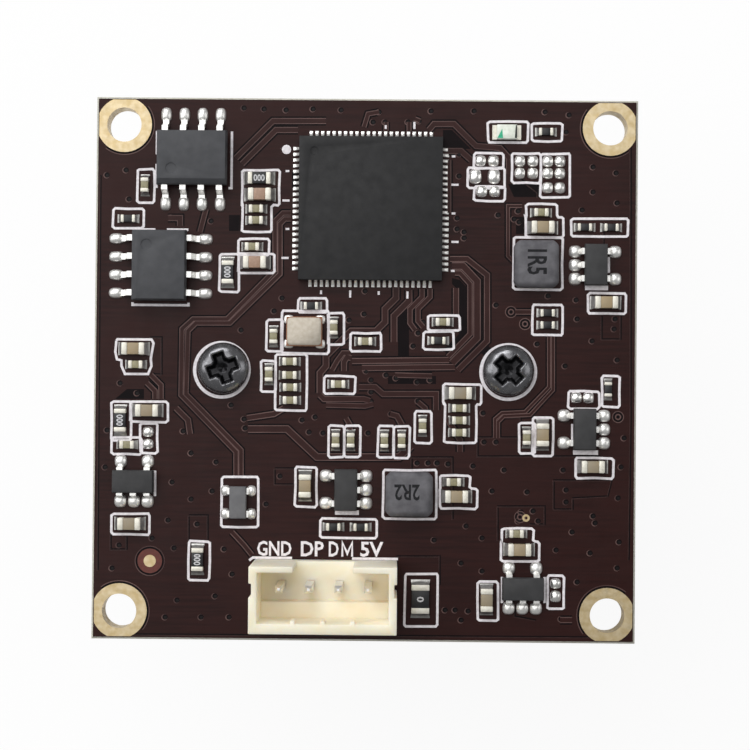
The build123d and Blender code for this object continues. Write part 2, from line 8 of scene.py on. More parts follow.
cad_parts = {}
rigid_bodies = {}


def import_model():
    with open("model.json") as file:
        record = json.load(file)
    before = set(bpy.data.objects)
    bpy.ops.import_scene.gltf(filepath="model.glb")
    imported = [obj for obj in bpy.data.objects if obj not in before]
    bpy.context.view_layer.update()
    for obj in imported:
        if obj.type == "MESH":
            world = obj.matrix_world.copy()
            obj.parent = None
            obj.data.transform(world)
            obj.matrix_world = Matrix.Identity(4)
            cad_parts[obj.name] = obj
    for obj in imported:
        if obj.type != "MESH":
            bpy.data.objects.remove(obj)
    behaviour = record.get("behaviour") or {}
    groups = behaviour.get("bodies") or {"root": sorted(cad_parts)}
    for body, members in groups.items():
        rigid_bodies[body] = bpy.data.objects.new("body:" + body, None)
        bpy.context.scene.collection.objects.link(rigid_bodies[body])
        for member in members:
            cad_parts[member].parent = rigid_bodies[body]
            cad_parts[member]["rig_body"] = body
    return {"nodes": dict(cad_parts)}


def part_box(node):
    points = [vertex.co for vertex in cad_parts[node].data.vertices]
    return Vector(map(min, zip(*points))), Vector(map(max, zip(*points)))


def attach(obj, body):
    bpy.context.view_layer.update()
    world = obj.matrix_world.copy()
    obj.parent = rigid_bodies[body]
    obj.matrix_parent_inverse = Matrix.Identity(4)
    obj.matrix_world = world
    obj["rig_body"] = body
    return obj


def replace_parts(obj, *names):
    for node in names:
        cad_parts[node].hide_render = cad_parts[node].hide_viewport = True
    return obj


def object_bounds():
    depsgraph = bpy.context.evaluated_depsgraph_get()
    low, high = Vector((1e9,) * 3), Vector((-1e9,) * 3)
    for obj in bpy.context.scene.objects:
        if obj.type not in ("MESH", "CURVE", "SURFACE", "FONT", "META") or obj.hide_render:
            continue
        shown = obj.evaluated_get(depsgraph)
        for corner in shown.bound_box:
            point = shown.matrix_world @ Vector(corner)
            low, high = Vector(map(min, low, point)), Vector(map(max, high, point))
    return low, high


# Looks of the board camera module. Sizes are in millimetres and are scaled to the frame's metres.
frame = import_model()
CAD_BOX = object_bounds()
NODES = frame["nodes"]
MM = 0.001
BODY = "module"
LENS = "lens"

BOARD_TOP = 0.0
BOARD_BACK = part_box("circuit_board")[0].z / MM
FLOOR_Z = CAD_BOX[0].z / MM

# Camera, fitted to the four corner holes of the photograph
CAMERA_PLACE = (1.815, -2.406, 129.965)
CAMERA_TILT = (-0.8892, -0.4895, -0.5093)
CAMERA_LENS, SENSOR_W, PHOTO_SIDE = 89.35, 36.0, 750

# Thin layers on the board: heights, the steps that keep crossing ones apart, and widths
GAP_H, EDGE_H, TRACK_H, PRINT_H, INK_H = 0.005, 0.012, 0.018, 0.03, 0.008
LAYER_STEP, PRINT_STEP = 0.0004, 0.002
BARE_H = GAP_H - 0.002
EDGE_W, GAP_W, AREA_GAP_W = 0.06, 0.22, 0.11
PRINT_W, BAR_W, MARK_W = 0.17, 0.32, 0.15
# Shift of the dim painted highlight beside the gaps of the copper areas, always to the same side
AREA_HIGHLIGHT_SHIFT = 0.07
FRAME_CUT, FRAME_CUT_SHARE, FRAME_LONG_SIDE, SHAKE = 0.12, 0.3, 1.6, 0.03
LETTER_EXTRUDE, LETTER_BOLD = 0.5, 0.022

# Vias, and the moats round the corner rings and the alignment dot
VIA_R, VIA_INNER_R, VIA_PIT_R, VIA_HOLE_R, WIDE_VIA_R, BARE_VIA_R = 0.22, 0.12, 0.19, 0.11, 0.42, 0.26
# Off-centre shifts of the via ring and hole: they place the painted highlight crescent and the painted shade
# in the hole to one side
VIA_GLINT_SHIFT, VIA_GLINT_AND_SHADE_SHIFT = 0.035, 0.02
VIA_RING_H, VIA_PIT_H, VIA_HOLE_H, VIA_EDGE_H = GAP_H + 0.005, GAP_H + 0.006, GAP_H + 0.008, EDGE_H + 0.004
HOLE_PITCH = 34.0
HOLE_AT = HOLE_PITCH / 2
CORNERS = [(x, y) for x in (-HOLE_AT, HOLE_AT) for y in (-HOLE_AT, HOLE_AT)]
MOAT_R, MOAT_W, MOAT_EDGE_R = 2.0, 0.14, 2.1
MOAT_TRIM, MOAT_STEPS = 0.12, 28
DOT_MOAT_R, DOT_CLAY_R = 1.0, 0.86
FLANGE_R, FLANGE_INNER_R, FLANGE_H = 1.93, 1.2, 0.03

# Solder
MOUND_H, MOUND_POWER, MOUND_PINCH, FOOT_POWER = 0.34, 2.3, 0.2, 0.72
LAND_MARGIN, FILLET_LIFT, CHIP_SOLDER_SHARE = 0.1, 0.02, 0.72
CRYSTAL_SPARE_X, CRYSTAL_SPARE_Y, CRYSTAL_UNDER, CRYSTAL_SOLDER_H = 0.2, 0.14, 0.5, 0.14
CONE_R, CONE_TAPER, CONE_H = 0.9, 0.52, 0.85

# Screws: the cross recess, the pit in its middle, the dome and shank, the rings of the mesh, and how far a
# face must sink to take the recess's painted shade
RECESS_HALF, RECESS_ARM, RECESS_HUB, RECESS_DEPTH, RECESS_SLOPE_W = 1.02, 0.35, 0.66, 0.66, 0.36
PIT_R, PIT_DEPTH = 0.34, 0.17
RIM_H, RIM_DROP, RIM_BEVEL, DOME_POWER, DOME_ROUND = 0.55, 0.05, 0.06, 3.2, 0.62
SHANK_R, SHANK_THREAD, SHANK_RIDGES, TIP_STEP, TIP_R = 1.0, 0.16, 24, 0.2, 0.3
HEAD_RINGS, EVEN_RINGS, EVEN_STEP, HEAD_SIDES, SUNK = 44, 30, 1.18, 120, 0.3

# Lens barrel: radii, thread, head, flutes, steps of the hood, and the kinds of surface of its section
THREAD_R, HOOD_R, STOP_R = 5.95, 5.4, 2.2
THREAD_PITCH, THREAD_DEPTH, THREAD_GAP, THREAD_ROOT, STEPS_PER_PITCH = 0.5, 0.26, 0.1, 0.25, 6
BARREL_HEAD_H, BARREL_SIDES, CHAMFER, LEAD_IN, LIP = 6.0, 180, 0.3, 0.15, 0.2
FLUTE_DEPTH, FLUTE_TOP, FLUTE_END = 0.16, 0.7, 1.1
HOOD_STEPS, HOOD_FROM, HOOD_STEP_DEPTH, HOOD_STEP_H, STEP_SLOPE = 5, 0.35, 0.22, 0.14, 0.02
PLAIN, THREAD, FLUTES = 0, 1, 2

# Other marks, tolerances and angles
LIGHT_MARK_H, LIGHT_MARK_SUNK, LIGHT_INSET, LIGHT_SIDE = 0.004, 0.02, 0.02, 0.05
WELD, TOUCH, NEAR, MITRE_LIMIT = 0.001, 0.01, 0.1, 0.4
MICRONS_PER_M, MICRONS_PER_MM = 1e6, 1000
FLAT_ANGLE, BEVEL_ANGLE, SHARP_ANGLE = (math.radians(a) for a in (1, 35, 40))

# Stage and lamps: name, place, size and power
FLOOR_HALF, FLOOR_GLOW, FILL_POWER, WHITE = 1500, 0.91, 0.24, (1, 1, 1, 1)
LAMPS = [
    ("ceiling", (-100, 120, 330), (390, 390), 0.76), ("key", (-90, 250, 200), (260, 130), 0.42),
    ("left", (-260, 30, 160), (120, 200), 0.17), ("right", (260, 30, 160), (120, 200), 0.1)]

# Readings from the photograph, in its pixels
VIAS_PX = [
    (373, 122), (379, 112), (385, 122), (408, 122), (419, 121), (431, 111), (474, 111), (459, 176),
    (459, 154), (457, 218), (457, 229), (464, 232), (464, 238), (545, 112), (569, 115), (566, 132),
    (593, 167), (616, 173), (593, 192), (617, 203), (582, 210), (518, 211), (514, 219), (519, 222),
    (498, 215), (364, 314), (365, 291), (413, 346), (418, 333), (423, 322), (496, 305), (548, 296),
    (576, 300), (577, 319), (615, 319), (614, 329), (592, 341), (537, 344), (617, 360), (565, 366),
    (366, 371), (371, 380), (386, 375), (396, 378), (417, 382), (430, 380), (371, 392), (371, 401),
    (418, 401), (391, 414), (368, 433), (484, 442), (496, 442), (417, 463), (428, 463), (437, 463),
    (448, 464), (473, 466), (483, 413), (492, 491), (624, 438), (504, 470), (563, 470), (527, 492),
    (566, 490), (566, 502), (621, 467), (618, 498), (434, 540), (466, 526), (482, 538), (461, 563),
    (482, 571), (445, 610), (455, 610), (468, 611), (461, 620), (521, 512), (533, 511), (518, 521),
    (538, 521), (572, 532), (595, 523), (593, 516), (619, 542), (556, 550), (590, 553), (617, 568),
    (577, 582), (561, 619), (126, 170), (107, 175), (129, 199), (172, 217), (211, 221), (137, 393),
    (120, 383), (107, 430), (105, 467), (191, 453), (216, 462), (172, 482), (212, 491), (191, 499),
    (183, 431), (231, 405), (168, 520), (197, 524), (119, 545), (152, 538), (174, 548), (112, 568),
    (224, 549), (215, 596), (177, 600), (165, 617), (201, 617), (229, 617), (232, 574), (244, 108),
    (264, 109), (286, 110), (313, 109), (341, 110), (244, 419), (245, 428), (302, 420), (309, 432),
    (323, 433), (315, 417), (280, 476), (266, 504), (282, 298), (274, 311), (241, 330), (349, 320)]
RINGED_VIAS_PX = [(511, 312), (525, 324), (618, 417), (520, 517)]
BARE_VIA_PX = (526, 518)

# Tracks: width in millimetres, then the pixels that they pass
TRACKS_PX = [
    (0.3, [(429, 130), (434, 124), (454, 124), (476, 146), (500, 148), (509, 158), (509, 174)]),
    (0.3, [(442, 151), (461, 151), (471, 160)]),
    (0.2, [(449, 160), (449, 213)]),
    (0.22, [(364, 127), (368, 114), (379, 112)]),
    (0.22, [(386, 122), (386, 131)]), (0.22, [(409, 122), (409, 131)]), (0.22, [(415, 119), (420, 121)]),
    (0.3, [(450, 259), (467, 259), (487, 275), (487, 341), (458, 370)]),
    (0.4, [(452, 266), (463, 266), (477, 281), (477, 338), (452, 363)]),
    (0.25, [(455, 273), (460, 273), (470, 284), (470, 334), (448, 357)]),
    (0.3, [(456, 288), (456, 314)]),
    (0.35, [(396, 287), (396, 298), (385, 309), (385, 322), (376, 331), (351, 331), (326, 356), (326, 366),
            (320, 373), (320, 393)]),
    (0.35, [(409, 290), (409, 301), (394, 316), (394, 342)]),
    (0.25, [(422, 289), (422, 297), (410, 309), (410, 323), (415, 330)]),
    (0.25, [(430, 289), (430, 297), (418, 309), (418, 321), (423, 327)]),
    (0.3, [(352, 361), (449, 360)]), (0.3, [(362, 368), (455, 367)]), (0.25, [(395, 375), (432, 376)]),
    (0.3, [(344, 371), (344, 362), (347, 357), (351, 358)]),
    (0.25, [(332, 370), (337, 361), (343, 353), (351, 353)]),
    (0.15, [(549, 336), (549, 387), (525, 412), (502, 413), (495, 419), (495, 438)]),
    (0.15, [(553, 336), (553, 390), (530, 415), (504, 416), (498, 422), (498, 438)]),
    (0.3, [(236, 158), (273, 121), (326, 121)]), (0.3, [(242, 164), (276, 130), (298, 130)]),
    (0.24, [(291, 213), (283, 213), (275, 221), (275, 270), (227, 319), (193, 319), (182, 329), (181, 395),
             (236, 452), (236, 477)]),
    (0.24, [(291, 219), (285, 219), (280, 224), (280, 274), (230, 323), (196, 323), (188, 331), (186, 394),
             (241, 450), (241, 477)]),
    (0.3, [(168, 218), (180, 218), (180, 226)]), (0.25, [(206, 209), (200, 232)]),
    (0.4, [(248, 429), (287, 429), (317, 457), (399, 457), (411, 446)]),
    (0.3, [(247, 418), (274, 414), (284, 408)]),
    (0.25, [(232, 532), (244, 545), (252, 555)]),
    (0.3, [(176, 408), (188, 420), (190, 434)]),
    (0.25, [(151, 375), (161, 385), (161, 399)]), (0.25, [(147, 383), (155, 391), (155, 399)]),
    (0.25, [(346, 418), (350, 425), (350, 434)]),
    (0.3, [(359, 387), (375, 387), (383, 394), (436, 394), (436, 410)]),
    (0.3, [(320, 395), (324, 399), (364, 399), (370, 401)]), (0.25, [(326, 405), (365, 406), (373, 404)]),
    (0.3, [(390, 414), (397, 416), (402, 425)]), (0.25, [(418, 402), (425, 408), (426, 414)]),
    (0.3, [(447, 418), (460, 440), (460, 452)]),
    (0.25, [(515, 312), (532, 312)]),
    (0.15, [(522, 206), (508, 206), (508, 256), (514, 262)]),
    (0.3, [(560, 620), (572, 620)])]

# Outlines of copper areas, in pixels
AREAS_PX = [
    [(497, 417), (521, 417), (521, 437), (478, 437), (478, 456), (600, 456)],
    [(602, 316), (602, 339), (621, 339), (621, 300)],
    [(554, 509), (554, 480), (612, 480)], [(554, 509), (573, 509), (573, 498), (608, 496), (612, 480)],
    [(498, 540), (498, 506), (545, 506), (545, 524), (530, 524)],
    [(392, 470), (412, 470), (412, 457), (453, 457), (453, 519)],
    [(440, 555), (440, 585)], [(396, 556), (439, 556)],
    [(189, 515), (189, 540)], [(189, 515), (208, 515), (208, 540)],
    [(111, 533), (111, 549), (127, 549), (127, 533)],
    [(275, 468), (275, 484), (297, 484)], [(275, 468), (297, 468)],
    [(150, 337), (162, 337), (162, 374), (153, 374)],
    [(631, 140), (631, 420), (629, 560)], [(101, 175), (99, 400), (98, 570)],
    [(120, 634), (300, 635), (600, 637)],
    [(604, 232), (604, 244)], [(545, 170), (545, 160)], [(516, 175), (538, 192), (538, 197)],
    [(515, 608), (515, 616), (536, 620)]]

# Places with no copper, in pixels
BARE_PLACES_PX = [
    [(443, 130), (452, 130), (471, 149), (443, 149)], [(292, 172), (298, 172), (298, 188), (292, 188)],
    [(452, 278), (460, 280), (467, 288), (467, 333), (447, 354), (443, 350), (459, 334), (459, 291),
     (452, 284)],
    [(398, 318), (409, 308), (409, 357), (398, 357)], [(508, 184), (541, 184), (541, 197), (514, 197)],
    [(229, 215), (240, 215), (240, 231), (229, 231)], [(516, 217), (524, 217), (524, 234), (516, 234)],
    [(388, 376), (436, 376), (436, 384), (388, 384)], [(486, 344), (500, 356), (492, 362), (480, 352)],
    [(115, 399), (127, 389), (144, 389), (144, 399)]]

# Printed frames: centre, width, height. Frames in one row are joined.
FRAMES = [
    [(-15.45, 12.7, 1.2, 2.35)], [(-16.65, 10.42, 2.15, 1.35)], [(-17.0, -3.75, 1.35, 2.7)],
    [(-15.05, -3.1, 2.6, 1.4)], [(-15.05, -4.95, 1.2, 2.1)], [(-16.6, -5.5, 2.1, 1.15)],
    [(-16.25, -10.95, 2.65, 1.45)], [(-11.45, -13.45, 1.45, 2.7)],
    [(-8.65, -9.35, 2.55, 3.5)], [(-9.55, 6.65, 1.35, 2.65)],
    [(-7.4, 12.65, 2.6, 2.45), (-7.65, 10.75, 2.05, 2.4)],
    [(-7.85, 8.5, 2.15, 1.1)], [(-7.65, 7.35, 2.5, 1.35)], [(-4.2, 2.55, 3.3, 2.95)],
    [(-3.7, 4.45, 2.05, 0.95)], [(-6.35, 2.3, 1.1, 2.2)], [(-2.05, 2.8, 1.1, 2.2)],
    [(-5.15, -0.95, 2.2, 3.9)], [(-6.75, -0.55, 1.0, 2.15)], [(0.05, 1.9, 2.15, 1.25)],
    [(-1.75, -1.1, 2.15, 1.2)], [(-1.95, -5.05, 1.1, 2.2)], [(-0.85, -5.05, 1.1, 2.2)],
    [(1.5, -5.05, 1.1, 2.2)], [(2.6, -5.05, 1.1, 2.2)], [(4.1, -4.0, 1.15, 2.2)],
    [(-4.05, -8.25, 1.5, 2.75)], [(-1.05, -11.1, 3.95, 1.3)], [(3.2, -8.7, 3.7, 3.4)],
    [(12.02, 7.5, 3.4, 3.65)], [(6.35, -8.0, 2.1, 1.3), (6.6, -8.95, 2.6, 1.4)],
    [(9.85, 16.68, 2.8, 1.45)], [(12.58, 16.68, 2.12, 1.25)], [(8.5, 14.65, 2.05, 1.05)],
    [(8.35, 13.45, 2.6, 1.4)], [(8.6, 12.35, 2.15, 1.0)], [(11.15, 14.15, 2.0, 2.05)],
    [(13.18, 13.65, 2.06, 3.05)], [(12.25, 11.1, 2.15, 1.1), (12.45, 10.05, 2.65, 1.4)],
    [(16.3, 10.05, 3.95, 1.25)], [(16.85, 4.75, 2.65, 1.4)], [(12.72, 3.55, 2.12, 2.1)],
    [(5.5, 3.27, 2.2, 1.05)], [(5.12, 2.05, 2.1, 1.25)],
    [(6.8, -1.67, 2.65, 1.4), (6.7, -3.7, 2.2, 2.75)],
    [(11.35, -4.7, 1.1, 2.15)], [(12.45, -4.6, 1.4, 2.65)], [(15.28, -2.0, 2.15, 1.2)],
    [(17.15, -1.4, 1.2, 2.15)], [(16.05, -6.75, 2.65, 1.4)],
    [(10.75, -11.5, 2.2, 1.0), (10.93, -12.6, 2.65, 1.4)], [(8.7, -16.08, 1.4, 2.7)],
    [(13.43, -15.42, 1.15, 2.3)], [(4.07, -16.05, 2.3, 3.65)]]

# Printed lines of the packages, and marks that count the processor's pins
PRINTED_LINES = [
    [(-14.71, 16.57), (-14.71, 14.92)], [(-14.71, 14.25), (-14.71, 12.57)],
    [(-9.67, 12.6), (-9.46, 12.6), (-9.46, 16.57)],
    [(-16.29, 9.66), (-14.75, 9.66)], [(-13.94, 9.66), (-12.44, 9.66)],
    [(-16.3, 4.55), (-16.3, 4.37), (-12.38, 4.37), (-12.38, 4.55)],
    [(14.49, -3.68), (14.5, -4.87)], [(16.95, 8.0), (16.96, 6.88)], [(-14.59, -7.2), (-14.58, -8.98)],
    [(9.68, -14.38), (9.69, -16.19)], [(12.64, -14.36), (12.65, -16.16)],
    [(-7.95, -13.4), (-7.7, -13.2), (-4.97, -13.2)], [(-0.78, -13.2), (2.42, -13.2)],
    [(-17.4, 1.85), (-17.32, 1.95), (-14.94, 1.95), (-14.8, 1.7), (-14.98, 0.62), (-14.93, 0.1),
     (-15.16, -0.46), (-16.77, -0.47), (-17.02, 0.08), (-17.03, 0.47), (-17.34, 0.55), (-17.46, 1.06),
     (-17.4, 1.85)]]
PRINTED_BARS = [
    [(-2.0, -10.0), (-0.33, -10.0)], [(14.56, -5.66), (16.3, -5.66)], [(15.31, 5.83), (16.91, 5.83)]]
PIN_MARKS_ACROSS = [
    (-5.55, 13.83, 0.13), (-5.63, 11.76, 0.25), (-5.51, 9.77, 0.13), (-5.66, 7.74, 0.25),
    (6.06, 14.95, 0.13), (6.18, 12.96, 0.25), (6.09, 10.95, 0.13), (6.21, 8.96, 0.25), (6.07, 6.93, 0.13)]
PIN_MARKS_ALONG = [
    (-3.12, 5.36, 0.13), (-1.08, 5.26, 0.25), (0.91, 5.34, 0.13), (2.92, 5.22, 0.25), (3.3, 17.09, 0.25),
    (1.3, 16.97, 0.13)]
PIN_ONE_PLACE, PIN_ONE_R = (-5.63, 15.34), 0.33
SCREW_RINGS = [(-10.0, -0.12), (10.0, -0.1)]
SCREW_RING_R, SCREW_RING_INNER_R = 2.02, 1.79

# Pin names with their left and right ends, the strokes of the M, and places and turns of the chips' codes
LABELS = [("GND", -7.41, -5.01), ("DP", -4.36, -2.76), ("D", -2.41, -1.72), ("5V", -0.21, 1.39)]
LABEL_Y, LABEL_TALL = -12.55, 1.05
LETTER_M = [(-1.46, -13.07), (-1.46, -12.1), (-1.12, -12.86), (-0.78, -12.1), (-0.78, -13.07)]
CHIP_CODES = [(-7.5, 13.3, 0), (-9.65, 6.7, 90), (-17.05, -3.7, 90), (-11.55, -13.35, 90)]
CHIP_CODE_SIZE = (0.78, 0.48)

# Places of the two warmer capacitors
ORANGE_PLACES = [(-7.45, 12.15), (-7.75, 7.4)]


# Small tools


def vec(x, y, z=0.0):
    """A point of the row frame from millimetres."""
    return Vector((x, y, z)) * MM


def camera_turn():
    """The camera's rotation."""
    tilt = [Matrix.Rotation(math.radians(a), 3, axis) for a, axis in zip(CAMERA_TILT, "XYZ")]
    return (tilt[2] @ tilt[1] @ tilt[0]).transposed()


def on_board(pixel):
    """The point of the board, in millimetres, under a pixel of the photograph."""
    middle = PHOTO_SIDE / 2
    ray = camera_turn() @ Vector((pixel[0] - middle, middle - pixel[1], -CAMERA_LENS / SENSOR_W * PHOTO_SIDE))
    place = Vector(CAMERA_PLACE) - ray * (CAMERA_PLACE[2] / ray.z)
    return place.x, place.y


def add(name, data):
    """A new object of the scene."""
    made = bpy.data.objects.new(name, data)
    bpy.context.scene.collection.objects.link(made)
    return made


def put(name, bm, mat, body=BODY, smooth=False, sharp=SHARP_ANGLE):
    """Turns a bmesh in millimetres into a piece that rides on a body."""
    bmesh.ops.recalc_face_normals(bm, faces=bm.faces)
    bmesh.ops.scale(bm, vec=(MM, MM, MM), verts=bm.verts)
    mesh = bpy.data.meshes.new(name)
    bm.to_mesh(mesh)
    bm.free()
    if smooth:
        mesh.shade_smooth()
        mesh.set_sharp_from_angle(angle=sharp)
    mesh.materials.append(mat)
    piece = add(name, mesh)
    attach(piece, body)
    return piece


def solids_of(node):
    """Lowest and highest corners, in millimetres, of each separate solid of a CAD node."""
    mesh = NODES[node].data
    root = {}

    def find(k):
        while root[k] != k:
            root[k] = root[root[k]]
            k = root[k]
        return k

    keys = [tuple(round(c * MICRONS_PER_M) for c in v.co) for v in mesh.vertices]
    for k in keys:
        root.setdefault(k, k)
    for poly in mesh.polygons:
        first = find(keys[poly.vertices[0]])
        for i in poly.vertices[1:]:
            root[find(keys[i])] = first
    groups = {}
    for k in root:
        groups.setdefault(find(k), []).append(k)
    boxes = []
    for points in groups.values():
        low = Vector([min(p[a] for p in points) for a in range(3)]) / MICRONS_PER_MM
        high = Vector([max(p[a] for p in points) for a in range(3)]) / MICRONS_PER_MM
        boxes.append((low, high))
    return sorted(boxes, key=lambda b: (round(b[0].x, 3), round(b[0].y, 3)))


def bevel(bm, edges, radius):
    """Rounds edges in two steps."""
    bmesh.ops.bevel(bm, geom=edges, offset=radius, offset_type="OFFSET", segments=2, profile=0.5,
                    affect="EDGES", clamp_overlap=True)


def softened(node, radius, mat):
    """Puts a copy of a CAD node with rounded edges in its place."""
    bm = bmesh.new()
    bm.from_mesh(NODES[node].data)
    bmesh.ops.scale(bm, vec=(1 / MM,) * 3, verts=bm.verts)
    bmesh.ops.remove_doubles(bm, verts=bm.verts, dist=WELD / 2)
    bmesh.ops.dissolve_limit(bm, angle_limit=FLAT_ANGLE, verts=bm.verts, edges=bm.edges)
    bevel(bm, [e for e in bm.edges if len(e.link_faces) == 2 and e.calc_face_angle(0) > BEVEL_ANGLE], radius)
    piece = put(node + "_form", bm, mat, body=NODES[node]["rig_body"], smooth=True)
    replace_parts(piece, node)


def rounded_box(bm, low, high, radius):
    """Adds a box with rounded edges."""
    made = bmesh.ops.create_cube(bm, size=1.0)["verts"]
    bmesh.ops.scale(bm, vec=high - low, verts=made)
    bmesh.ops.translate(bm, vec=(low + high) / 2, verts=made)
    bevel(bm, list({e for v in made for e in v.link_edges}), radius)


def sheet_grid(bm, columns, rows, place):
    """Adds a grid of quads whose points come from place(u, v), with u and v from 0 to 1."""
    grid = [[bm.verts.new(place(i / columns, j / rows)) for j in range(rows + 1)]
            for i in range(columns + 1)]
    for i in range(columns):
        for j in range(rows):
            bm.faces.new((grid[i][j], grid[i + 1][j], grid[i + 1][j + 1], grid[i][j + 1]))


def strip(bm, points, width, top, closed=False):
    """Adds a raised line of even width along points, with mitred corners."""
    count = len(points)
    left, right = [], []
    for i, point in enumerate(points):
        here = Vector(point)
        runs = []
        if i or closed:
            runs.append((here - Vector(points[i - 1])).normalized())
        if i < count - 1 or closed:
            runs.append((Vector(points[(i + 1) % count]) - here).normalized())
        along = sum(runs, Vector((0, 0))).normalized()
        side = Vector((-along.y, along.x))
        reach = width / 2 / max(MITRE_LIMIT, abs(side.dot(Vector((-runs[0].y, runs[0].x)))))
        for line, sign in ((left, 1), (right, -1)):
            p = here + side * reach * sign
            line.append([bm.verts.new((p.x, p.y, z)) for z in (top, BOARD_TOP)])
    for i in range(count if closed else count - 1):
        j = (i + 1) % count
        (a, a0), (b, b0), (c, c0), (d, d0) = left[i], left[j], right[j], right[i]
        for face in ((a, b, c, d), (a, a0, b0, b), (d, c, c0, d0)):
            bm.faces.new(face)
    if not closed:
        for i in (0, -1):
            (a, a0), (d, d0) = left[i], right[i]
            bm.faces.new((a, d, d0, a0))


def around(x, y, radius, angle):
    """The point of a circle at an angle."""
    return x + radius * math.cos(angle), y + radius * math.sin(angle)


def circle(bm, x, y, radius, z, sides):
    """Adds a ring of points."""
    return [bm.verts.new((*around(x, y, radius, 2 * math.pi * k / sides), z)) for k in range(sides)]


def band(bm, a, b):
    """Adds the faces between two rings of points. A ring may be one point, repeated."""
    faces = []
    for k in range(len(a)):
        m = (k + 1) % len(a)
        faces.append(bm.faces.new(list(dict.fromkeys((a[k], a[m], b[m], b[k])))))
    return faces


def disc(bm, x, y, radius, top, sides=16, inner=0.0, bottom=BOARD_TOP):
    """Adds a flat round spot, or a ring if it has an inner radius."""
    edge = ((radius, bottom), (radius, top), (inner, top))
    rings = [circle(bm, x, y, r, z, sides) for r, z in edge if r > 0]
    for a, b in zip(rings, rings[1:]):
        band(bm, a, b)
    if inner == 0:
        bm.faces.new(rings[-1])


# Materials


def give(node, values):
    """Sets inputs of a shader node."""
    for key, value in values.items():
        node.inputs[key].default_value = value
    return node


class Look:
    """A Principled material with its node tree at hand."""

    def __init__(self, name, colour, rough, metal=0.0, coat=0.0, spec=0.5):
        self.mat = bpy.data.materials.new(name)
        self.mat.use_nodes = True
        self.tree = self.mat.node_tree
        self.out = give(self.tree.nodes["Principled BSDF"], {
            "Base Color": (*colour, 1), "Roughness": rough, "Metallic": metal, "Coat Weight": coat,
            "Coat Roughness": 0.25, "Specular IOR Level": spec})
        self.place = self.node("ShaderNodeTexCoord").outputs["Object"]
        self.height = None

    def node(self, kind, **values):
        made = self.tree.nodes.new(kind)
        for key, value in values.items():
            setattr(made, key, value)
        return made

    def link(self, a, b):
        self.tree.links.new(a, b)

    def noise(self, size, detail=3.0, stretch=(1, 1, 1)):
        """Noise with features of a size in millimetres."""
        scaled = give(self.node("ShaderNodeMapping"), {"Scale": stretch})
        self.link(self.place, scaled.inputs["Vector"])
        made = give(self.node("ShaderNodeTexNoise"), {"Scale": 1 / (size * MM), "Detail": detail})
        self.link(scaled.outputs["Vector"], made.inputs["Vector"])
        return made.outputs["Fac"]

    def spread(self, value, low, high, start=0.3, end=0.7):
        """Maps a value from start..end to low..high."""
        made = give(self.node("ShaderNodeMapRange"),
                    {"From Min": start, "From Max": end, "To Min": low, "To Max": high})
        self.link(value, made.inputs["Value"])
        return made.outputs["Result"]

    def mix(self, value, first, second):
        """A colour between two by a value. Each may be a colour or a socket."""
        made = self.node("ShaderNodeMix", data_type="RGBA")
        self.link(value, made.inputs["Factor"])
        for socket, given in zip([s for s in made.inputs if s.type == "RGBA"], (first, second)):
            if isinstance(given, tuple):
                socket.default_value = (*given, 1)
            else:
                self.link(given, socket)
        return [s for s in made.outputs if s.type == "RGBA"][0]

    def wear(self, size, low, high):
        """Lets the roughness wander."""
        self.link(self.spread(self.noise(size, 4.0), low, high), self.out.inputs["Roughness"])
        return self

    def bump(self, value, depth):
        """Adds relief of a depth in millimetres."""
        made = give(self.node("ShaderNodeBump"), {"Strength": 1.0, "Distance": depth * MM})
        self.link(value, made.inputs["Height"])
        if self.height:
            self.link(self.height, made.inputs["Normal"])
        self.height = made.outputs["Normal"]
        self.link(self.height, self.out.inputs["Normal"])
        return self


def tone(r, g, b):
    """A linear colour from the 0 to 255 values that a screen shows."""
    return tuple(((c / 255 + 0.055) / 1.055) ** 2.4 if c > 10 else c / 255 / 12.92 for c in (r, g, b))


def finish_of(name, shade, other, rough, patch, grain=0.3, depth=0.004, wear=None, **shine):
    """A surface with patches of a second shade, wandering gloss and a fine grain."""
    look = Look(name, tone(*shade), rough, **shine)
    patches = look.spread(look.noise(patch, 4.0), 0, 1, 0.35, 0.65)
    look.link(look.mix(patches, tone(*shade), tone(*other)), look.out.inputs["Base Color"])
    if wear:
        look.wear(*wear)
    if depth:
        look.bump(look.noise(grain), depth)
    return look


def board_look():
    """Dark brown mask over copper, with bare laminate at the edges and in the cuts."""
    look = Look("mask_brown", tone(38, 19, 17), 0.3, spec=0.14)
    patches = look.spread(look.noise(7.0, 3.0), 0, 1, 0.35, 0.65)
    streaks = look.spread(look.noise(0.5, 2.0, (0.12, 2.2, 1)), 0, 1, 0.35, 0.65)
    mask = look.mix(patches, tone(34, 16, 15), tone(44, 21, 19))
    mask = look.mix(streaks, mask, tone(46, 22, 20))
    fibres = look.spread(look.noise(0.25, 2.0, (1, 1, 6)), 0, 1)
    laminate = look.mix(fibres, tone(212, 210, 196), tone(146, 142, 126))
    split = look.node("ShaderNodeSeparateXYZ")
    shape = look.node("ShaderNodeNewGeometry")
    look.link(shape.outputs["True Normal"], split.inputs["Vector"])
    flat = look.node("ShaderNodeMath", operation="ABSOLUTE")
    look.link(split.outputs["Z"], flat.inputs[0])
    face = look.spread(flat.outputs["Value"], 0, 1, 0.9, 0.95)
    look.link(look.mix(face, laminate, mask), look.out.inputs["Base Color"])
    look.link(look.spread(look.noise(1.2), 0.3, 0.42), look.out.inputs["Roughness"])
    look.bump(look.noise(0.45, 2.0, (1, 2.5, 1)), 0.004)
    look.bump(look.noise(3.0, 2.0), 0.008)
    return look.mat


def epoxy_look(name, shade, other):
    """Moulding compound with two sizes of grain."""
    look = finish_of(name, shade, other, 0.55, 0.8, depth=0, wear=(0.5, 0.48, 0.66), spec=0.25)
    look.bump(look.noise(0.05, 1.0), 0.004).bump(look.noise(0.6), 0.003)
    return look.mat


def ceramic_look(name, shade, other, patch=0.18):
    """Fired ceramic."""
    return finish_of(name, shade, other, 0.42, patch, 0.06, 0.003).mat


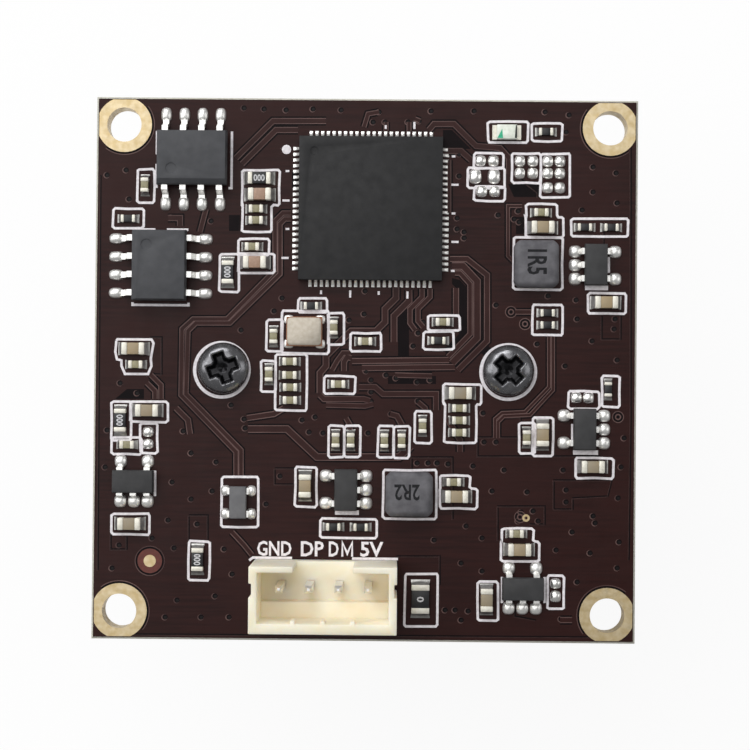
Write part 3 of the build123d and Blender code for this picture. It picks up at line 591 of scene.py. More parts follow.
def black_metal_look(name, rough, shade, other):
    """Blackened metal."""
    return finish_of(name, shade, other, rough, 0.5, 0.1,
                     wear=(0.3, rough - 0.06, rough + 0.1), metal=0.8).mat


def nylon_look():
    """Ivory nylon that light enters a little."""
    look = finish_of("ivory_nylon", (252, 241, 219), (249, 234, 207), 0.48, 1.6, 0.15,
                     wear=(0.8, 0.42, 0.56))
    give(look.out, {"Subsurface Weight": 0.6, "Subsurface Scale": 1.0,
                    "Subsurface Radius": (0.0016, 0.0012, 0.0008)})
    return look.mat


def lid_look():
    """Brushed lid of the crystal."""
    look = finish_of("crystal_lid_metal", (182, 174, 161), (170, 161, 147), 0.4, 0.3, depth=0,
                     wear=(0.2, 0.32, 0.5), metal=0.55)
    return look.bump(look.noise(0.05, 2.0, (1, 8, 1)), 0.002).mat


def glass_look(name, tint):
    """Coated glass."""
    look = Look(name, tint, 0.02)
    give(look.out, {"Transmission Weight": 1.0, "IOR": 1.5, "Coat Weight": 0.4,
                    "Coat Tint": (0.6, 0.5, 0.95, 1)})
    return look.wear(2.0, 0.01, 0.03).mat


def lamp_look():
    """Milky resin of the status light."""
    look = finish_of("lamp_resin", (236, 240, 230), (214, 220, 206), 0.25, 0.4, 0.1, 0.003, coat=0.5)
    give(look.out, {"Subsurface Weight": 0.2, "Subsurface Radius": (0.0005,) * 3})
    return look.mat


def ink_look(name, shade):
    """Flat ink that drifts to a slightly lighter shade."""
    return finish_of(name, shade, [min(255, c + 14) for c in shade], 0.6, 0.1, depth=0, spec=0.2).mat


MASK = board_look()
GOLD = finish_of("gold_plate", (212, 195, 160), (196, 174, 130), 0.4, 0.5, 0.12,
                 wear=(0.4, 0.28, 0.5), metal=0.7).mat
SOLDER = finish_of("solder", (250, 249, 246), (236, 235, 232), 0.32, 0.3, depth=0,
                   wear=(0.8, 0.3, 0.36), metal=0.72).mat
LAND_SOLDER = finish_of("land_solder", (250, 249, 246), (232, 231, 228), 0.27, 0.3, depth=0,
                        wear=(0.8, 0.24, 0.3), metal=0.9).mat
# A darker copy of the solder for the chip fillets: painted shade
FILLET_SOLDER_SHADE = finish_of("fillet_solder_painted_shade", (176, 175, 172), (150, 149, 146), 0.36, 0.3, depth=0.002,
                 wear=(0.8, 0.3, 0.42), metal=0.85).mat
TIN = finish_of("tinned_ends", (222, 218, 204), (236, 233, 222), 0.48, 0.2, 0.08,
                wear=(0.2, 0.42, 0.56), metal=0.4).mat
EPOXY = epoxy_look("dark_epoxy", (42, 42, 43), (36, 36, 37))
EPOXY_LIGHT = epoxy_look("grey_epoxy", (76, 77, 80), (69, 70, 73))
EPOXY_MID = epoxy_look("mid_epoxy", (63, 63, 64), (56, 56, 57))
DIODE = epoxy_look("pale_epoxy", (112, 112, 114), (102, 102, 104))
COIL = epoxy_look("ferrite_grey", (106, 105, 109), (84, 83, 87))
TAN = ceramic_look("tan_ceramic", (162, 142, 108), (142, 133, 116), 4.0)
ORANGE = ceramic_look("orange_ceramic", (168, 138, 118), (156, 126, 106))
OLIVE = ceramic_look("olive_ceramic", (152, 146, 116), (136, 130, 102))
DARK = ceramic_look("black_glaze", (32, 32, 34), (24, 24, 26))
DARK_CERAMIC = ceramic_look("dark_ceramic", (70, 64, 58), (58, 53, 48))
BROWN_CERAMIC = ceramic_look("brown_ceramic", (166, 112, 78), (140, 92, 62))
PRINT = finish_of("white_print", (238, 234, 237), (218, 212, 216), 0.6, 0.25, 0.08, 0.006).mat
TRACK = finish_of("mask_over_track", (52, 27, 25), (44, 22, 20), 0.3, 1.5, spec=0.14).mat
GAP = finish_of("mask_over_gap", (14, 10, 12), (21, 14, 16), 0.4, 1.5, spec=0.07).mat
# Light lines along copper edges: painted highlight, whose broad patches stand in for light varying across the
# board
EDGE_HIGHLIGHT = finish_of("mask_over_edge_painted_highlight", (108, 84, 80), (70, 48, 46), 0.35, 5.0, spec=0.2).mat
# Dim line beside the gaps of the copper areas: painted highlight
AREA_EDGE_HIGHLIGHT = finish_of("mask_over_area_edge_painted_highlight", (62, 40, 38), (44, 26, 24), 0.35, 0.8, spec=0.2).mat
# Near-black: painted shade in the via holes
VIA_HOLE_SHADE = finish_of("mask_in_hole_painted_shade", (9, 6, 7), (16, 10, 11), 0.4, 0.3, 0.1, spec=0.2).mat
CLAY = finish_of("bare_laminate_red", (98, 40, 28), (84, 32, 24), 0.5, 0.3, 0.1).mat
NYLON = nylon_look()
# One black oxide in two copies: the darker one, on the recess faces, is painted shade
SCREW = black_metal_look("black_oxide", 0.2, (124, 124, 127), (110, 110, 113))
RECESS_SHADE = black_metal_look("black_oxide_recess_painted_shade", 0.2, (40, 40, 42), (30, 30, 32))
ANODISED = black_metal_look("black_anodised", 0.42, (40, 40, 43), (30, 30, 33))
MOULDING = finish_of("black_moulding", (34, 34, 35), (28, 28, 29), 0.5, 1.5, 0.12, 0.006,
                     wear=(0.8, 0.42, 0.6)).mat
LID = lid_look()
GLASS = glass_look("coated_glass", (0.98, 1.0, 0.99))
FILTER = glass_look("filter_glass", (0.72, 0.9, 0.95))
SILICON = finish_of("sensor_silicon", (70, 74, 96), (60, 84, 84), 0.15, 0.6, depth=0,
                    wear=(0.5, 0.1, 0.2), metal=0.9).mat
LAMP = lamp_look()
PALE_INK = ink_look("pale_ink", (196, 196, 198))
DARK_INK = ink_look("dark_ink", (20, 20, 23))
GREEN = ink_look("green_ink", (60, 170, 130))


# Print, tracks and vias on the board


def frame_outline(boxes):
    """Corner points round a box, or round a small box on a larger one, with the corners cut."""
    if len(boxes) == 1:
        x, y, w, h = boxes[0]
        left, right, below, above = x - w / 2, x + w / 2, y - h / 2, y + h / 2
        corners = [(left, below), (right, below), (right, above), (left, above)]
    else:
        (ux, uy, uw, uh), (lx, ly, lw, lh) = sorted(boxes, key=lambda b: -b[1])
        step = ly + lh / 2 if uw < lw else uy - uh / 2
        corners = [(lx - lw / 2, ly - lh / 2), (lx + lw / 2, ly - lh / 2), (lx + lw / 2, step),
                   (ux + uw / 2, step), (ux + uw / 2, uy + uh / 2), (ux - uw / 2, uy + uh / 2),
                   (ux - uw / 2, step), (lx - lw / 2, step)]
    points = []
    for i, corner in enumerate(corners):
        here = Vector(corner)
        for other in (corners[i - 1], corners[(i + 1) % len(corners)]):
            run = Vector(other) - here
            points.append(tuple(here + run.normalized() * min(FRAME_CUT, run.length * FRAME_CUT_SHARE)))
        if run.length > FRAME_LONG_SIDE:
            points.append(tuple(here + run * 0.5))
    return points


def printed_frames():
    """White printed frames round the chips."""
    bm = bmesh.new()
    shake = random.Random(11)
    for i, boxes in enumerate(FRAMES):
        outline = []
        for x, y in frame_outline(boxes):
            outline.append((x + shake.uniform(-SHAKE, SHAKE), y + shake.uniform(-SHAKE, SHAKE)))
        strip(bm, outline, PRINT_W, PRINT_H + PRINT_STEP * (i % 5), closed=True)
    put("printed_frames", bm, PRINT)


def printed_lines():
    """Corner lines, bars and pin marks of the packages, and rings round the screws."""
    bm = bmesh.new()
    for x, y in SCREW_RINGS:
        disc(bm, x, y, SCREW_RING_R, PRINT_H, 64, inner=SCREW_RING_INNER_R)
    for points in PRINTED_LINES:
        strip(bm, points, PRINT_W, PRINT_H + 2 * PRINT_STEP)
    for points in PRINTED_BARS:
        strip(bm, points, BAR_W, PRINT_H)
    for x, y, half in PIN_MARKS_ACROSS:
        strip(bm, [(x - half, y), (x + half, y)], MARK_W, PRINT_H)
    for x, y, half in PIN_MARKS_ALONG:
        strip(bm, [(x, y - half), (x, y + half)], MARK_W, PRINT_H)
    disc(bm, *PIN_ONE_PLACE, PIN_ONE_R, PRINT_H, 12)
    put("printed_lines", bm, PRINT)


def lettering(name, text, centre, size, mat, turn=0.0, base=BOARD_TOP, rise=PRINT_H):
    """Letters that fill a width and height, as a thin raised layer."""
    curve = bpy.data.curves.new(name, "FONT")
    curve.body = text
    curve.extrude = LETTER_EXTRUDE
    curve.offset = LETTER_BOLD
    curve.resolution_u = 2
    holder = add(name + "_curve", curve)
    bpy.context.view_layer.update()
    flat = bpy.data.meshes.new_from_object(holder.evaluated_get(bpy.context.evaluated_depsgraph_get()))
    bpy.data.objects.remove(holder)
    bm = bmesh.new()
    bm.from_mesh(flat)
    xs, ys = [v.co.x for v in bm.verts], [v.co.y for v in bm.verts]
    wide, tall = max(xs) - min(xs), max(ys) - min(ys)
    middle = Vector(((min(xs) + max(xs)) / 2, (min(ys) + max(ys)) / 2, -LETTER_EXTRUDE))
    bmesh.ops.translate(bm, vec=-middle, verts=bm.verts)
    bmesh.ops.scale(bm, vec=(size[0] / wide, size[1] / tall, rise), verts=bm.verts)
    bmesh.ops.rotate(bm, matrix=Matrix.Rotation(math.radians(turn), 3, "Z"), verts=bm.verts)
    bmesh.ops.translate(bm, vec=(*centre, base), verts=bm.verts)
    put(name, bm, mat)


def labels():
    """Pin names beside the header and value codes on the parts."""
    for text, left, right in LABELS:
        lettering("label_" + text, text, ((left + right) / 2, LABEL_Y), (right - left, LABEL_TALL), PRINT)
    letter_m = bmesh.new()
    strip(letter_m, LETTER_M, MARK_W, PRINT_H)
    put("label_M", letter_m, PRINT)
    coil_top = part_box("inductor_1_body")[1].z / MM
    lettering("mark_coil_1", "1R5", (11.85, 7.5), (1.75, 1.35), DARK_INK, -90, coil_top, INK_H)
    lettering("mark_coil_2", "2R2", (3.0, -8.5), (1.75, 1.1), DARK_INK, 180, coil_top, INK_H)
    chip_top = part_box("resistor_large_bodies")[1].z / MM
    for i, (x, y, turn) in enumerate(CHIP_CODES):
        lettering(f"mark_chip_{i}", "000", (x, y), CHIP_CODE_SIZE, PALE_INK, turn, chip_top, INK_H)
    jumper_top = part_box("jumper_resistor_bodies")[1].z / MM
    lettering("mark_jumper", "0", (4.0, -15.95), (0.38, 0.5), PALE_INK, 90, jumper_top, INK_H)


def tracks():
    """Tracks under the mask: a dark gap, a fine bright edge painted as a highlight, and the raised track;
    copper areas get a gap with a dim painted highlight shifted to one side.
    """
    gaps, edges, raised, area_highlights = (bmesh.new() for _ in range(4))
    for i, (width, pixels) in enumerate(TRACKS_PX):
        points = [on_board(p) for p in pixels]
        lift = LAYER_STEP * (i % 8)
        strip(gaps, points, width + 2 * EDGE_W + GAP_W, GAP_H + lift / 2)
        strip(edges, points, width + 2 * EDGE_W, EDGE_H + lift)
        strip(raised, points, width, TRACK_H + lift)
    for i, pixels in enumerate(AREAS_PX):
        points = [on_board(p) for p in pixels]
        drop = LAYER_STEP / 2 * (i % 6)
        strip(gaps, points, AREA_GAP_W, GAP_H - drop)
        strip(area_highlights, [(x - AREA_HIGHLIGHT_SHIFT, y - AREA_HIGHLIGHT_SHIFT) for x, y in points], EDGE_W, EDGE_H - drop)
    for pixels in BARE_PLACES_PX:
        gaps.faces.new([gaps.verts.new((*on_board(p), BARE_H)) for p in pixels])
    put("mask_gaps", gaps, GAP)
    put("track_edge_highlights", edges, EDGE_HIGHLIGHT)
    put("tracks", raised, TRACK)
    put("area_edge_highlights", area_highlights, AREA_EDGE_HIGHLIGHT)


def vias():
    """Tented vias: a low ring round a dark pit. The ring sits off-centre so that a bright crescent shows as a
    painted highlight; the pit and the hole are painted dark as shade.
    """
    rings, pits, holes, bright = (bmesh.new() for _ in range(4))
    for pixel in VIAS_PX:
        x, y = on_board(pixel)
        disc(rings, x - VIA_GLINT_SHIFT, y - VIA_GLINT_AND_SHADE_SHIFT, VIA_R, VIA_RING_H, 14, inner=VIA_INNER_R)
        disc(pits, x, y, VIA_PIT_R, VIA_PIT_H, 14)
        disc(holes, x + VIA_GLINT_AND_SHADE_SHIFT, y - VIA_GLINT_AND_SHADE_SHIFT, VIA_HOLE_R, VIA_HOLE_H, 12)
    for pixel in RINGED_VIAS_PX:
        x, y = on_board(pixel)
        disc(rings, x, y, WIDE_VIA_R, VIA_EDGE_H, 20, inner=WIDE_VIA_R - EDGE_W)
        disc(rings, x, y, VIA_R, VIA_EDGE_H, 14, inner=VIA_INNER_R + 0.01)
        disc(pits, x, y, WIDE_VIA_R - 0.02, GAP_H + 0.003, 20)
    x, y = on_board(BARE_VIA_PX)
    disc(bright, x, y, BARE_VIA_R, TRACK_H + 0.01, 20, inner=VIA_HOLE_R)
    put("via_rings_painted_highlight", rings, EDGE_HIGHLIGHT)
    put("via_pits_painted_shade", pits, GAP)
    put("via_holes_painted_shade", holes, VIA_HOLE_SHADE)
    put("bare_via", bright, GOLD)


def ring_moats():
    """Dark gaps in the copper round the corner rings and the alignment dot, with a painted highlight line at
    their outer edges.
    """
    moats, edges, clay = (bmesh.new() for _ in range(3))
    for x, y in CORNERS:
        start = math.atan2(-y, -x) - math.pi / 2 + MOAT_TRIM
        angles = [start + (math.pi - 2 * MOAT_TRIM) * k / MOAT_STEPS for k in range(MOAT_STEPS + 1)]
        for bm, radius, width, top in ((moats, MOAT_R, MOAT_W, GAP_H), (edges, MOAT_EDGE_R, EDGE_W, EDGE_H)):
            strip(bm, [around(x, y, radius, a) for a in angles], width, top)
    low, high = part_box("fiducial_mark")
    x, y = (low.x + high.x) / 2 / MM, (low.y + high.y) / 2 / MM
    disc(moats, x, y, DOT_MOAT_R, GAP_H, 32)
    disc(edges, x, y, DOT_MOAT_R + 0.05, EDGE_H, 40, inner=DOT_MOAT_R - 0.01)
    disc(clay, x, y, DOT_CLAY_R, GAP_H + 0.004, 32)
    put("ring_gaps", moats, GAP)
    put("ring_gap_edge_highlights", edges, EDGE_HIGHLIGHT)
    put("dot_window", clay, CLAY)


# Solder and chips


def pillow(bm, low, high, rise):
    """Adds a mound of solder over a land."""
    middle, half = (low + high) / 2, (high - low) / 2

    def place(u, v):
        a, b = 2 * u - 1, 2 * v - 1
        lift = math.sqrt((1 - abs(a) ** MOUND_POWER) * (1 - abs(b) ** MOUND_POWER))
        bulge = 1 - MOUND_PINCH * (a * b) ** 2
        return middle.x + half.x * a * bulge, middle.y + half.y * b * bulge, low.z + rise * lift
    sheet_grid(bm, 14, 14, place)


def fillet(bm, root, along, width, height, reach, flare=0.05):
    """Adds a hollow solder fillet that runs from a wall down to the board."""
    across = Vector((-along.y, along.x, 0))

    def place(u, v):
        side = 2 * v - 1
        edge = 1 - abs(side) ** 5 * 0.5
        p = root + along * (reach * u) + across * ((width / 2 + flare * u) * side)
        return p.x, p.y, BOARD_TOP + height * (1 - u) ** 2.0 * edge + FILLET_LIFT * (1 - u)
    sheet_grid(bm, 8, 6, place)


def heading(away, sideways):
    """A unit step along x or along y, on the side that a way out points to."""
    if sideways:
        return Vector((math.copysign(1, away.x), 0, 0))
    return Vector((0, math.copysign(1, away.y), 0))


def beside(low, high, body_low, body_high):
    """Whether a box lies to the left or right of a body."""
    return low.x > body_high.x - TOUCH or high.x < body_low.x + TOUCH


def extents(low, high, along):
    """Length along a direction, and width across it, of a box."""
    size = high - low
    return abs(size.dot(along)), abs(size.dot(Vector((-along.y, along.x, 0))))


def chips(prefix, body_look, reach, radius=0.05):
    """Rounded bodies, rounded tinned ends and their solder, for one size of chip."""
    bodies, ends = solids_of(prefix + "_bodies"), solids_of(prefix + "_ends")
    body_bm, end_bm, solder_bm, orange_bm = (bmesh.new() for _ in range(4))
    for low, high in bodies:
        centre = (low + high) / 2
        warm = any(abs(centre.x - x) < NEAR and abs(centre.y - y) < NEAR for x, y in ORANGE_PLACES)
        rounded_box(orange_bm if warm else body_bm, low, high, radius / 2)
    for low, high in ends:
        rounded_box(end_bm, low, high, radius)
        centre = (low + high) / 2
        away = centre - min(((b[0] + b[1]) / 2 for b in bodies), key=lambda middle: (middle - centre).length)
        along = heading(away, abs(away.x) > abs(away.y))
        length, width = extents(low, high, along)
        root = Vector((centre.x, centre.y, 0)) + along * (length / 2)
        fillet(solder_bm, root, along, width, high.z * CHIP_SOLDER_SHARE, reach)
    if orange_bm.verts:
        put(prefix + "_orange_set", orange_bm, ORANGE, smooth=True)
    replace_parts(put(prefix + "_body_set", body_bm, body_look, smooth=True), prefix + "_bodies")
    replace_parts(put(prefix + "_end_set", end_bm, TIN, smooth=True), prefix + "_ends")
    # The fillets take the darker copy of the solder: painted shade
    put(prefix + "_solder", solder_bm, FILLET_SOLDER_SHADE, smooth=True)


def bare_lands():
    """Crowned solder on the lands with no part."""
    bm = bmesh.new()
    for low, high in solids_of("bare_lands"):
        pillow(bm, Vector((low.x - LAND_MARGIN, low.y - LAND_MARGIN, 0.0)),
               Vector((high.x + LAND_MARGIN, high.y + LAND_MARGIN, 0.0)), MOUND_H)
    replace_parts(put("bare_land_solder", bm, LAND_SOLDER, smooth=True), "bare_lands")


def crystal_solder():
    """Solder that shows at the corners of the crystal."""
    bm = bmesh.new()
    low, high = (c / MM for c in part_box("crystal_base"))
    for x, inward in ((low.x, 1), (high.x, -1)):
        for y, upward in ((low.y, 1), (high.y, -1)):
            xs = sorted((x - CRYSTAL_SPARE_X * inward, x + CRYSTAL_UNDER * inward))
            ys = sorted((y - CRYSTAL_SPARE_Y * upward, y + CRYSTAL_UNDER * upward))
            pillow(bm, Vector((xs[0], ys[0], 0.0)), Vector((xs[1], ys[1], 0.0)), CRYSTAL_SOLDER_H)
    put("crystal_solder", bm, SOLDER, smooth=True)


def lead_solder(node, body_node, spare, back, margin):
    """Mounds of solder round the feet of a package's leads."""
    bm = bmesh.new()
    low, high = (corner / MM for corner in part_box(body_node))
    for lead_low, lead_high in solids_of(node):
        centre = (lead_low + lead_high) / 2
        along = heading(centre - (low + high) / 2, beside(lead_low, lead_high, low, high))
        across = Vector((-along.y, along.x, 0))
        length, width = extents(lead_low, lead_high, along)
        tip = Vector((centre.x, centre.y, 0)) + along * length / 2
        half = (spare + back) / 2
        heart = tip + along * (spare - half)

        def place(u, v):
            turn, rise = 2 * math.pi * u, math.pi / 2 * v
            reach, side = (math.copysign(abs(c) ** FOOT_POWER, c) for c in (math.cos(turn), math.sin(turn)))
            p = heart + along * (half * reach * math.cos(rise))
            p += across * ((width / 2 + margin) * side * math.cos(rise))
            return p.x, p.y, MOUND_H * math.sin(rise)
        sheet_grid(bm, 20, 6, place)
    bmesh.ops.remove_doubles(bm, verts=bm.verts, dist=WELD)
    put(node + "_solder", bm, SOLDER, smooth=True)


def processor_solder():
    """Concave solder at each land of the processor."""
    bm = bmesh.new()
    low, high = (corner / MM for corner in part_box("processor_body"))
    for land_low, land_high in solids_of("processor_joints"):
        centre = (land_low + land_high) / 2
        along = heading(centre - (low + high) / 2, beside(land_low, land_high, low, high))
        length, width = extents(land_low, land_high, along)
        root = Vector((centre.x, centre.y, 0)) - along * length / 2
        fillet(bm, root, along, width, land_high.z, length, flare=0.0)
    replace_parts(put("processor_solder", bm, SOLDER, smooth=True), "processor_joints")


# Screws and lens


def screw_head(node, turn):
    """Pan-head screw: domed head, cross recess with sloping walls, and a threaded shank; the recess faces are
    painted darker as shade.
    """
    low, high = (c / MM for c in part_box(node))
    x, y = (low.x + high.x) / 2, (low.y + high.y) / 2
    head_r, top, depth = (high.x - low.x) / 2, high.z, -low.z
    turn = math.radians(turn)
    rings, sides = HEAD_RINGS, HEAD_SIDES

    def surface(r, a):
        """Height of the head, and how far the point has sunk into the recess."""
        share = min(1.0, r / head_r)
        dome = RIM_H + (top - RIM_H) * (1 - share ** DOME_POWER) ** DOME_ROUND
        u, v = abs(r * math.cos(a - turn)), abs(r * math.sin(a - turn))
        arm = min(max(u - RECESS_HALF, v - RECESS_ARM), max(v - RECESS_HALF, u - RECESS_ARM))
        edge = min(arm, r - RECESS_HUB)
        fall = min(1.0, max(0.0, 0.5 - edge / RECESS_SLOPE_W))
        fall = fall * fall * (3 - 2 * fall)
        pit = PIT_DEPTH * max(0.0, 1 - r / PIT_R)
        return dome - RECESS_DEPTH * fall * (1 - 0.35 * share) - pit, fall

    bm = bmesh.new()
    circles = [[bm.verts.new((x, y, surface(0, 0)[0]))] * sides]
    radii = [0.0]
    for i in range(1, rings + 1):
        even = head_r * i / rings * EVEN_STEP
        r = head_r * math.sin(math.pi / 2 * i / rings) if i > EVEN_RINGS else even
        radii.append(min(r, head_r * 0.999))
        circles.append(circle(bm, x, y, radii[i], 0.0, sides))
        for k, point in enumerate(circles[i]):
            point.co.z = surface(radii[i], 2 * math.pi * k / sides)[0]
    wall = [(head_r, RIM_H - RIM_DROP), (head_r, RIM_BEVEL), (head_r - RIM_BEVEL, 0.0), (SHANK_R, 0.0)]
    for k in range(1, SHANK_RIDGES + 1):
        wall.append((SHANK_R - (SHANK_THREAD if k % 2 else 0.0), -depth * k / (SHANK_RIDGES + 2)))
    wall += [(SHANK_R - TIP_STEP, -depth + 0.05), (TIP_R, -depth)]
    for r, z in wall:
        circles.append(circle(bm, x, y, r, z, sides))
    for i, (a, b) in enumerate(zip(circles, circles[1:])):
        for k, face in enumerate(band(bm, a, b)):
            if i < rings:
                sunk = surface((radii[i] + radii[i + 1]) / 2, 2 * math.pi * (k + 0.5) / sides)[1]
                # Faces sunk in the recess take the darker copy of the metal: painted shade
                face.material_index = 1 if sunk > SUNK else 0
    bm.faces.new(circles[-1])
    form = put(node + "_form", bm, SCREW, smooth=True)
    form.data.materials.append(RECESS_SHADE)
    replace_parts(form, node)


def barrel_profile():
    """The barrel's section as radius, height and kind of surface, from its rear bore round to the stop."""
    low, high = (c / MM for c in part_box("lens_barrel"))
    front, rear, head_r = low.z, high.z, high.x
    glass_z = (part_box("lens_front_glass")[1] / MM).z
    rear_low, rear_high = (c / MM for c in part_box("lens_rear_glass"))
    ring_low, ring_high = (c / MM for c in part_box("lens_retainer"))
    seat_r, rear_r, floor_z = ring_high.x, rear_high.x + 0.02, ring_low.z
    head_z = front + BARREL_HEAD_H
    turns = int((rear - head_z) / THREAD_PITCH * STEPS_PER_PITCH)
    rise = rear - head_z - 2 * THREAD_GAP
    bore = [(rear_r, rear_low.z), (rear_r, rear - LEAD_IN), (rear_r + LEAD_IN, rear), (THREAD_R - 0.4, rear)]
    thread = [(THREAD_R, rear - THREAD_GAP - rise * k / turns) for k in range(turns + 1)]
    head = [(THREAD_R - THREAD_ROOT, head_z), (head_r - CHAMFER, head_z), (head_r, head_z - CHAMFER),
            (head_r, head_z - FLUTE_TOP)]
    flutes = [(head_r, head_z - FLUTE_TOP - 0.05), (head_r, front + FLUTE_END + 0.05)]
    hood = [(head_r, front + FLUTE_END), (head_r, front + CHAMFER), (head_r - CHAMFER, front),
            (HOOD_R + LIP, front), (HOOD_R, front + LIP)]
    for k in range(HOOD_STEPS):
        z = front + HOOD_FROM + (floor_z - front - HOOD_FROM - 0.05) * k / HOOD_STEPS
        hood += [(HOOD_R - STEP_SLOPE, z), (HOOD_R - HOOD_STEP_DEPTH, z + STEP_SLOPE),
                 (HOOD_R - HOOD_STEP_DEPTH, z + HOOD_STEP_H)]
    hood += [(HOOD_R - 0.25, floor_z), (seat_r + 0.05, floor_z), (seat_r, floor_z + 0.04), (seat_r, glass_z),
             (STOP_R, glass_z), (STOP_R, rear_low.z)]
    return [(r, z, kind) for kind, points in (
        (PLAIN, bore), (THREAD, thread), (PLAIN, head), (FLUTES, flutes), (PLAIN, hood)) for r, z in points]


def barrel():
    """Turned barrel with a cut thread, a fluted head and stepped rings inside its hood."""
    sides = BARREL_SIDES
    bm = bmesh.new()
    circles = []
    for r, z, kind in barrel_profile():
        points = []
        for k in range(sides):
            radius = r
            if kind == THREAD:
                radius -= THREAD_DEPTH * (1 - abs(2 * ((z / THREAD_PITCH + k / sides) % 1.0) - 1))
            if kind == FLUTES:
                radius -= FLUTE_DEPTH * (k // 3 % 2)
            points.append(bm.verts.new((*around(0, 0, radius, 2 * math.pi * k / sides), z)))
        circles.append(points)
    for a, b in zip(circles, circles[1:] + circles[:1]):
        band(bm, a, b)
    form = put("lens_barrel_form", bm, ANODISED, body=LENS, smooth=True, sharp=math.radians(30))
    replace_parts(form, "lens_barrel")


# Light, header and finishes of the CAD nodes


def light_marks():
    """Green cathode corner and dark far end of the light."""
    low, high = (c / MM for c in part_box("status_light_body"))
    green, dark = bmesh.new(), bmesh.new()
    corner = [(low.x + LIGHT_INSET, low.y + 0.04), (low.x + 0.42, low.y + 0.04), (low.x + 0.36, high.y - 0.3)]
    end, below, above = high.x - LIGHT_INSET, low.y + LIGHT_SIDE, high.y - LIGHT_SIDE
    far_end = [(high.x - 0.16, below), (end, below), (end, above), (high.x - 0.1, above)]
    for bm, outline in ((green, corner), (dark, far_end)):
        upper = [bm.verts.new((x, y, high.z + LIGHT_MARK_H)) for x, y in outline]
        lower = [bm.verts.new((x, y, high.z - LIGHT_MARK_SUNK)) for x, y in outline]
        bm.faces.new(upper)
        band(bm, upper, lower)
    put("light_green_mark", green, GREEN)
    put("light_dark_end", dark, DARK_INK)


def back_solder():
    """Cones of solder on the pin tails, and gold flanges round the corner holes at the back."""
    cones, flanges = bmesh.new(), bmesh.new()
    for number in range(1, 5):
        low, high = (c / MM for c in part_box(f"header_pin_{number}"))
        x, y = (low.x + high.x) / 2, (low.y + high.y) / 2

        def place(u, v):
            return *around(x, y, CONE_R - CONE_TAPER * v ** 0.6, 2 * math.pi * u), BOARD_BACK - CONE_H * v
        sheet_grid(cones, 24, 8, place)
    bmesh.ops.remove_doubles(cones, verts=cones.verts, dist=WELD)
    for x, y in CORNERS:
        disc(flanges, x, y, FLANGE_R, BOARD_BACK - FLANGE_H, 64, FLANGE_INNER_R, BOARD_BACK)
    put("pin_solder", cones, SOLDER, smooth=True)
    put("back_flanges", flanges, GOLD)


def repaint(node, mat):
    """Gives a CAD node a finish and leaves its shape."""
    slots = NODES[node].data.materials
    slots.clear()
    slots.append(mat)


def finishes():
    """Finishes of the nodes that keep their CAD shape."""
    for node in NODES:
        if node.endswith("_leads") or node.startswith("header_pin"):
            repaint(node, SOLDER)
        if node.endswith("_terminals"):
            repaint(node, TIN)
    for node, mat in (("circuit_board", MASK), ("corner_rings", GOLD), ("fiducial_mark", GOLD),
                      ("crystal_base", BROWN_CERAMIC), ("sensor_package", DARK_CERAMIC),
                      ("sensor_die", SILICON), ("sensor_glass", GLASS), ("infrared_filter", FILTER),
                      ("lens_retainer", ANODISED), ("lens_front_glass", GLASS), ("lens_rear_glass", GLASS)):
        repaint(node, mat)


# Stage, light and camera


def seen_by_camera(tree, first, second, target, share=1.0):
    """Joins two shaders: the camera sees a share of the second, all other rays see the first."""
    ray = tree.nodes.new("ShaderNodeLightPath")
    part = give(tree.nodes.new("ShaderNodeMath"), {1: share})
    part.operation = "MULTIPLY"
    blend = tree.nodes.new("ShaderNodeMixShader")
    tree.links.new(ray.outputs["Is Camera Ray"], part.inputs[0])
    tree.links.new(part.outputs["Value"], blend.inputs["Fac"])
    tree.links.new(first.outputs[0], blend.inputs[1])
    tree.links.new(second.outputs[0], blend.inputs[2])
    tree.links.new(blend.outputs["Shader"], tree.nodes[target].inputs["Surface"])


def stage():
    """Pale floor under the lens, seen as white by the camera."""
    bm = bmesh.new()
    bmesh.ops.create_grid(bm, x_segments=1, y_segments=1, size=FLOOR_HALF)
    bmesh.ops.scale(bm, vec=(MM,) * 3, verts=bm.verts)
    mesh = bpy.data.meshes.new("floor")
    bm.to_mesh(mesh)
    bm.free()
    floor = add("floor", mesh)
    floor.location = vec(0, 0, FLOOR_Z)
    mat = bpy.data.materials.new("floor_white")
    mat.use_nodes = True
    nodes = mat.node_tree.nodes
    plain = give(nodes["Principled BSDF"], {"Base Color": (0.95, 0.95, 0.95, 1), "Roughness": 0.8})
    glow = give(nodes.new("ShaderNodeEmission"), {"Color": WHITE})
    seen_by_camera(mat.node_tree, plain, glow, "Material Output", FLOOR_GLOW)
    floor.data.materials.append(mat)


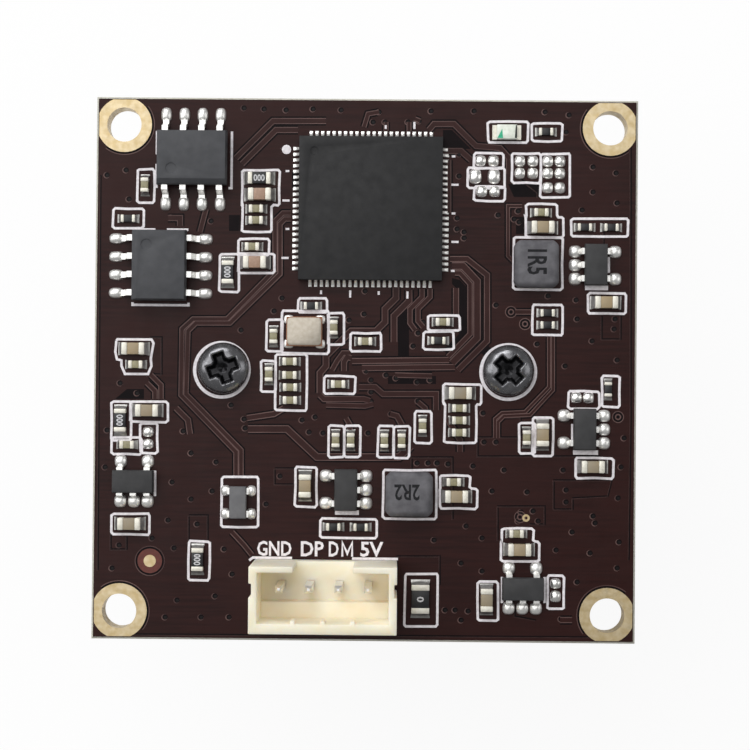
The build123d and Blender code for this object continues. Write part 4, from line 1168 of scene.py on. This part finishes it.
def lights():
    """Soft rectangular lights that face the board, and a weak fill all round."""
    for name, place, size, power in LAMPS:
        data = bpy.data.lights.new(name, "AREA")
        data.shape = "RECTANGLE"
        data.size, data.size_y = size[0] * MM, size[1] * MM
        data.energy = power
        lamp = add(name, data)
        lamp.location = vec(*place)
        lamp.rotation_mode = "QUATERNION"
        lamp.rotation_quaternion = (-lamp.location).to_track_quat("-Z", "Y")
    world = bpy.data.worlds.new("studio")
    world.use_nodes = True
    bpy.context.scene.world = world
    fill = give(world.node_tree.nodes["Background"], {"Color": WHITE, "Strength": FILL_POWER})
    white = give(world.node_tree.nodes.new("ShaderNodeBackground"), {"Color": WHITE})
    seen_by_camera(world.node_tree, fill, white, "World Output")


def camera():
    """The photograph's view, square above the board."""
    data = bpy.data.cameras.new("camera")
    data.lens, data.sensor_width = CAMERA_LENS, SENSOR_W
    data.clip_start, data.clip_end = 0.01, 10.0
    made = add("camera", data)
    made.matrix_world = Matrix.Translation(vec(*CAMERA_PLACE)) @ camera_turn().to_4x4()
    bpy.context.scene.camera = made


# The whole part
printed_frames()
printed_lines()
labels()
tracks()
vias()
ring_moats()
chips("capacitor_small", OLIVE, 0.26)
chips("capacitor_large", TAN, 0.3, 0.07)
chips("resistor_small", DARK, 0.26)
chips("resistor_large", DARK, 0.3)
chips("jumper_resistor", DARK, 0.34)
bare_lands()
crystal_solder()
for number in (1, 2):
    lead_solder(f"memory_{number}_leads", f"memory_{number}_body", 0.62, 0.42, 0.16)
for number in range(1, 6):
    lead_solder(f"regulator_{number}_leads", f"regulator_{number}_body", 0.44, 0.46, 0.22)
lead_solder("diode_array_leads", "diode_array_body", 0.36, 0.3, 0.16)
processor_solder()
softened("processor_body", 0.04, EPOXY)
for number in (1, 2):
    softened(f"memory_{number}_body", 0.06, EPOXY_LIGHT)
for number in range(1, 6):
    softened(f"regulator_{number}_body", 0.05, EPOXY_MID)
softened("diode_array_body", 0.04, DIODE)
for number in (1, 2):
    softened(f"inductor_{number}_body", 0.12, COIL)
softened("header_housing", 0.06, NYLON)
softened("crystal_lid", 0.04, LID)
softened("status_light_body", 0.04, LAMP)
softened("lens_holder", 0.2, MOULDING)
screw_head("screw_left", 20)
screw_head("screw_right", 45)
barrel()
finishes()
light_marks()
back_solder()
stage()
lights()
camera()
bpy.context.scene.view_settings.view_transform = "Standard"
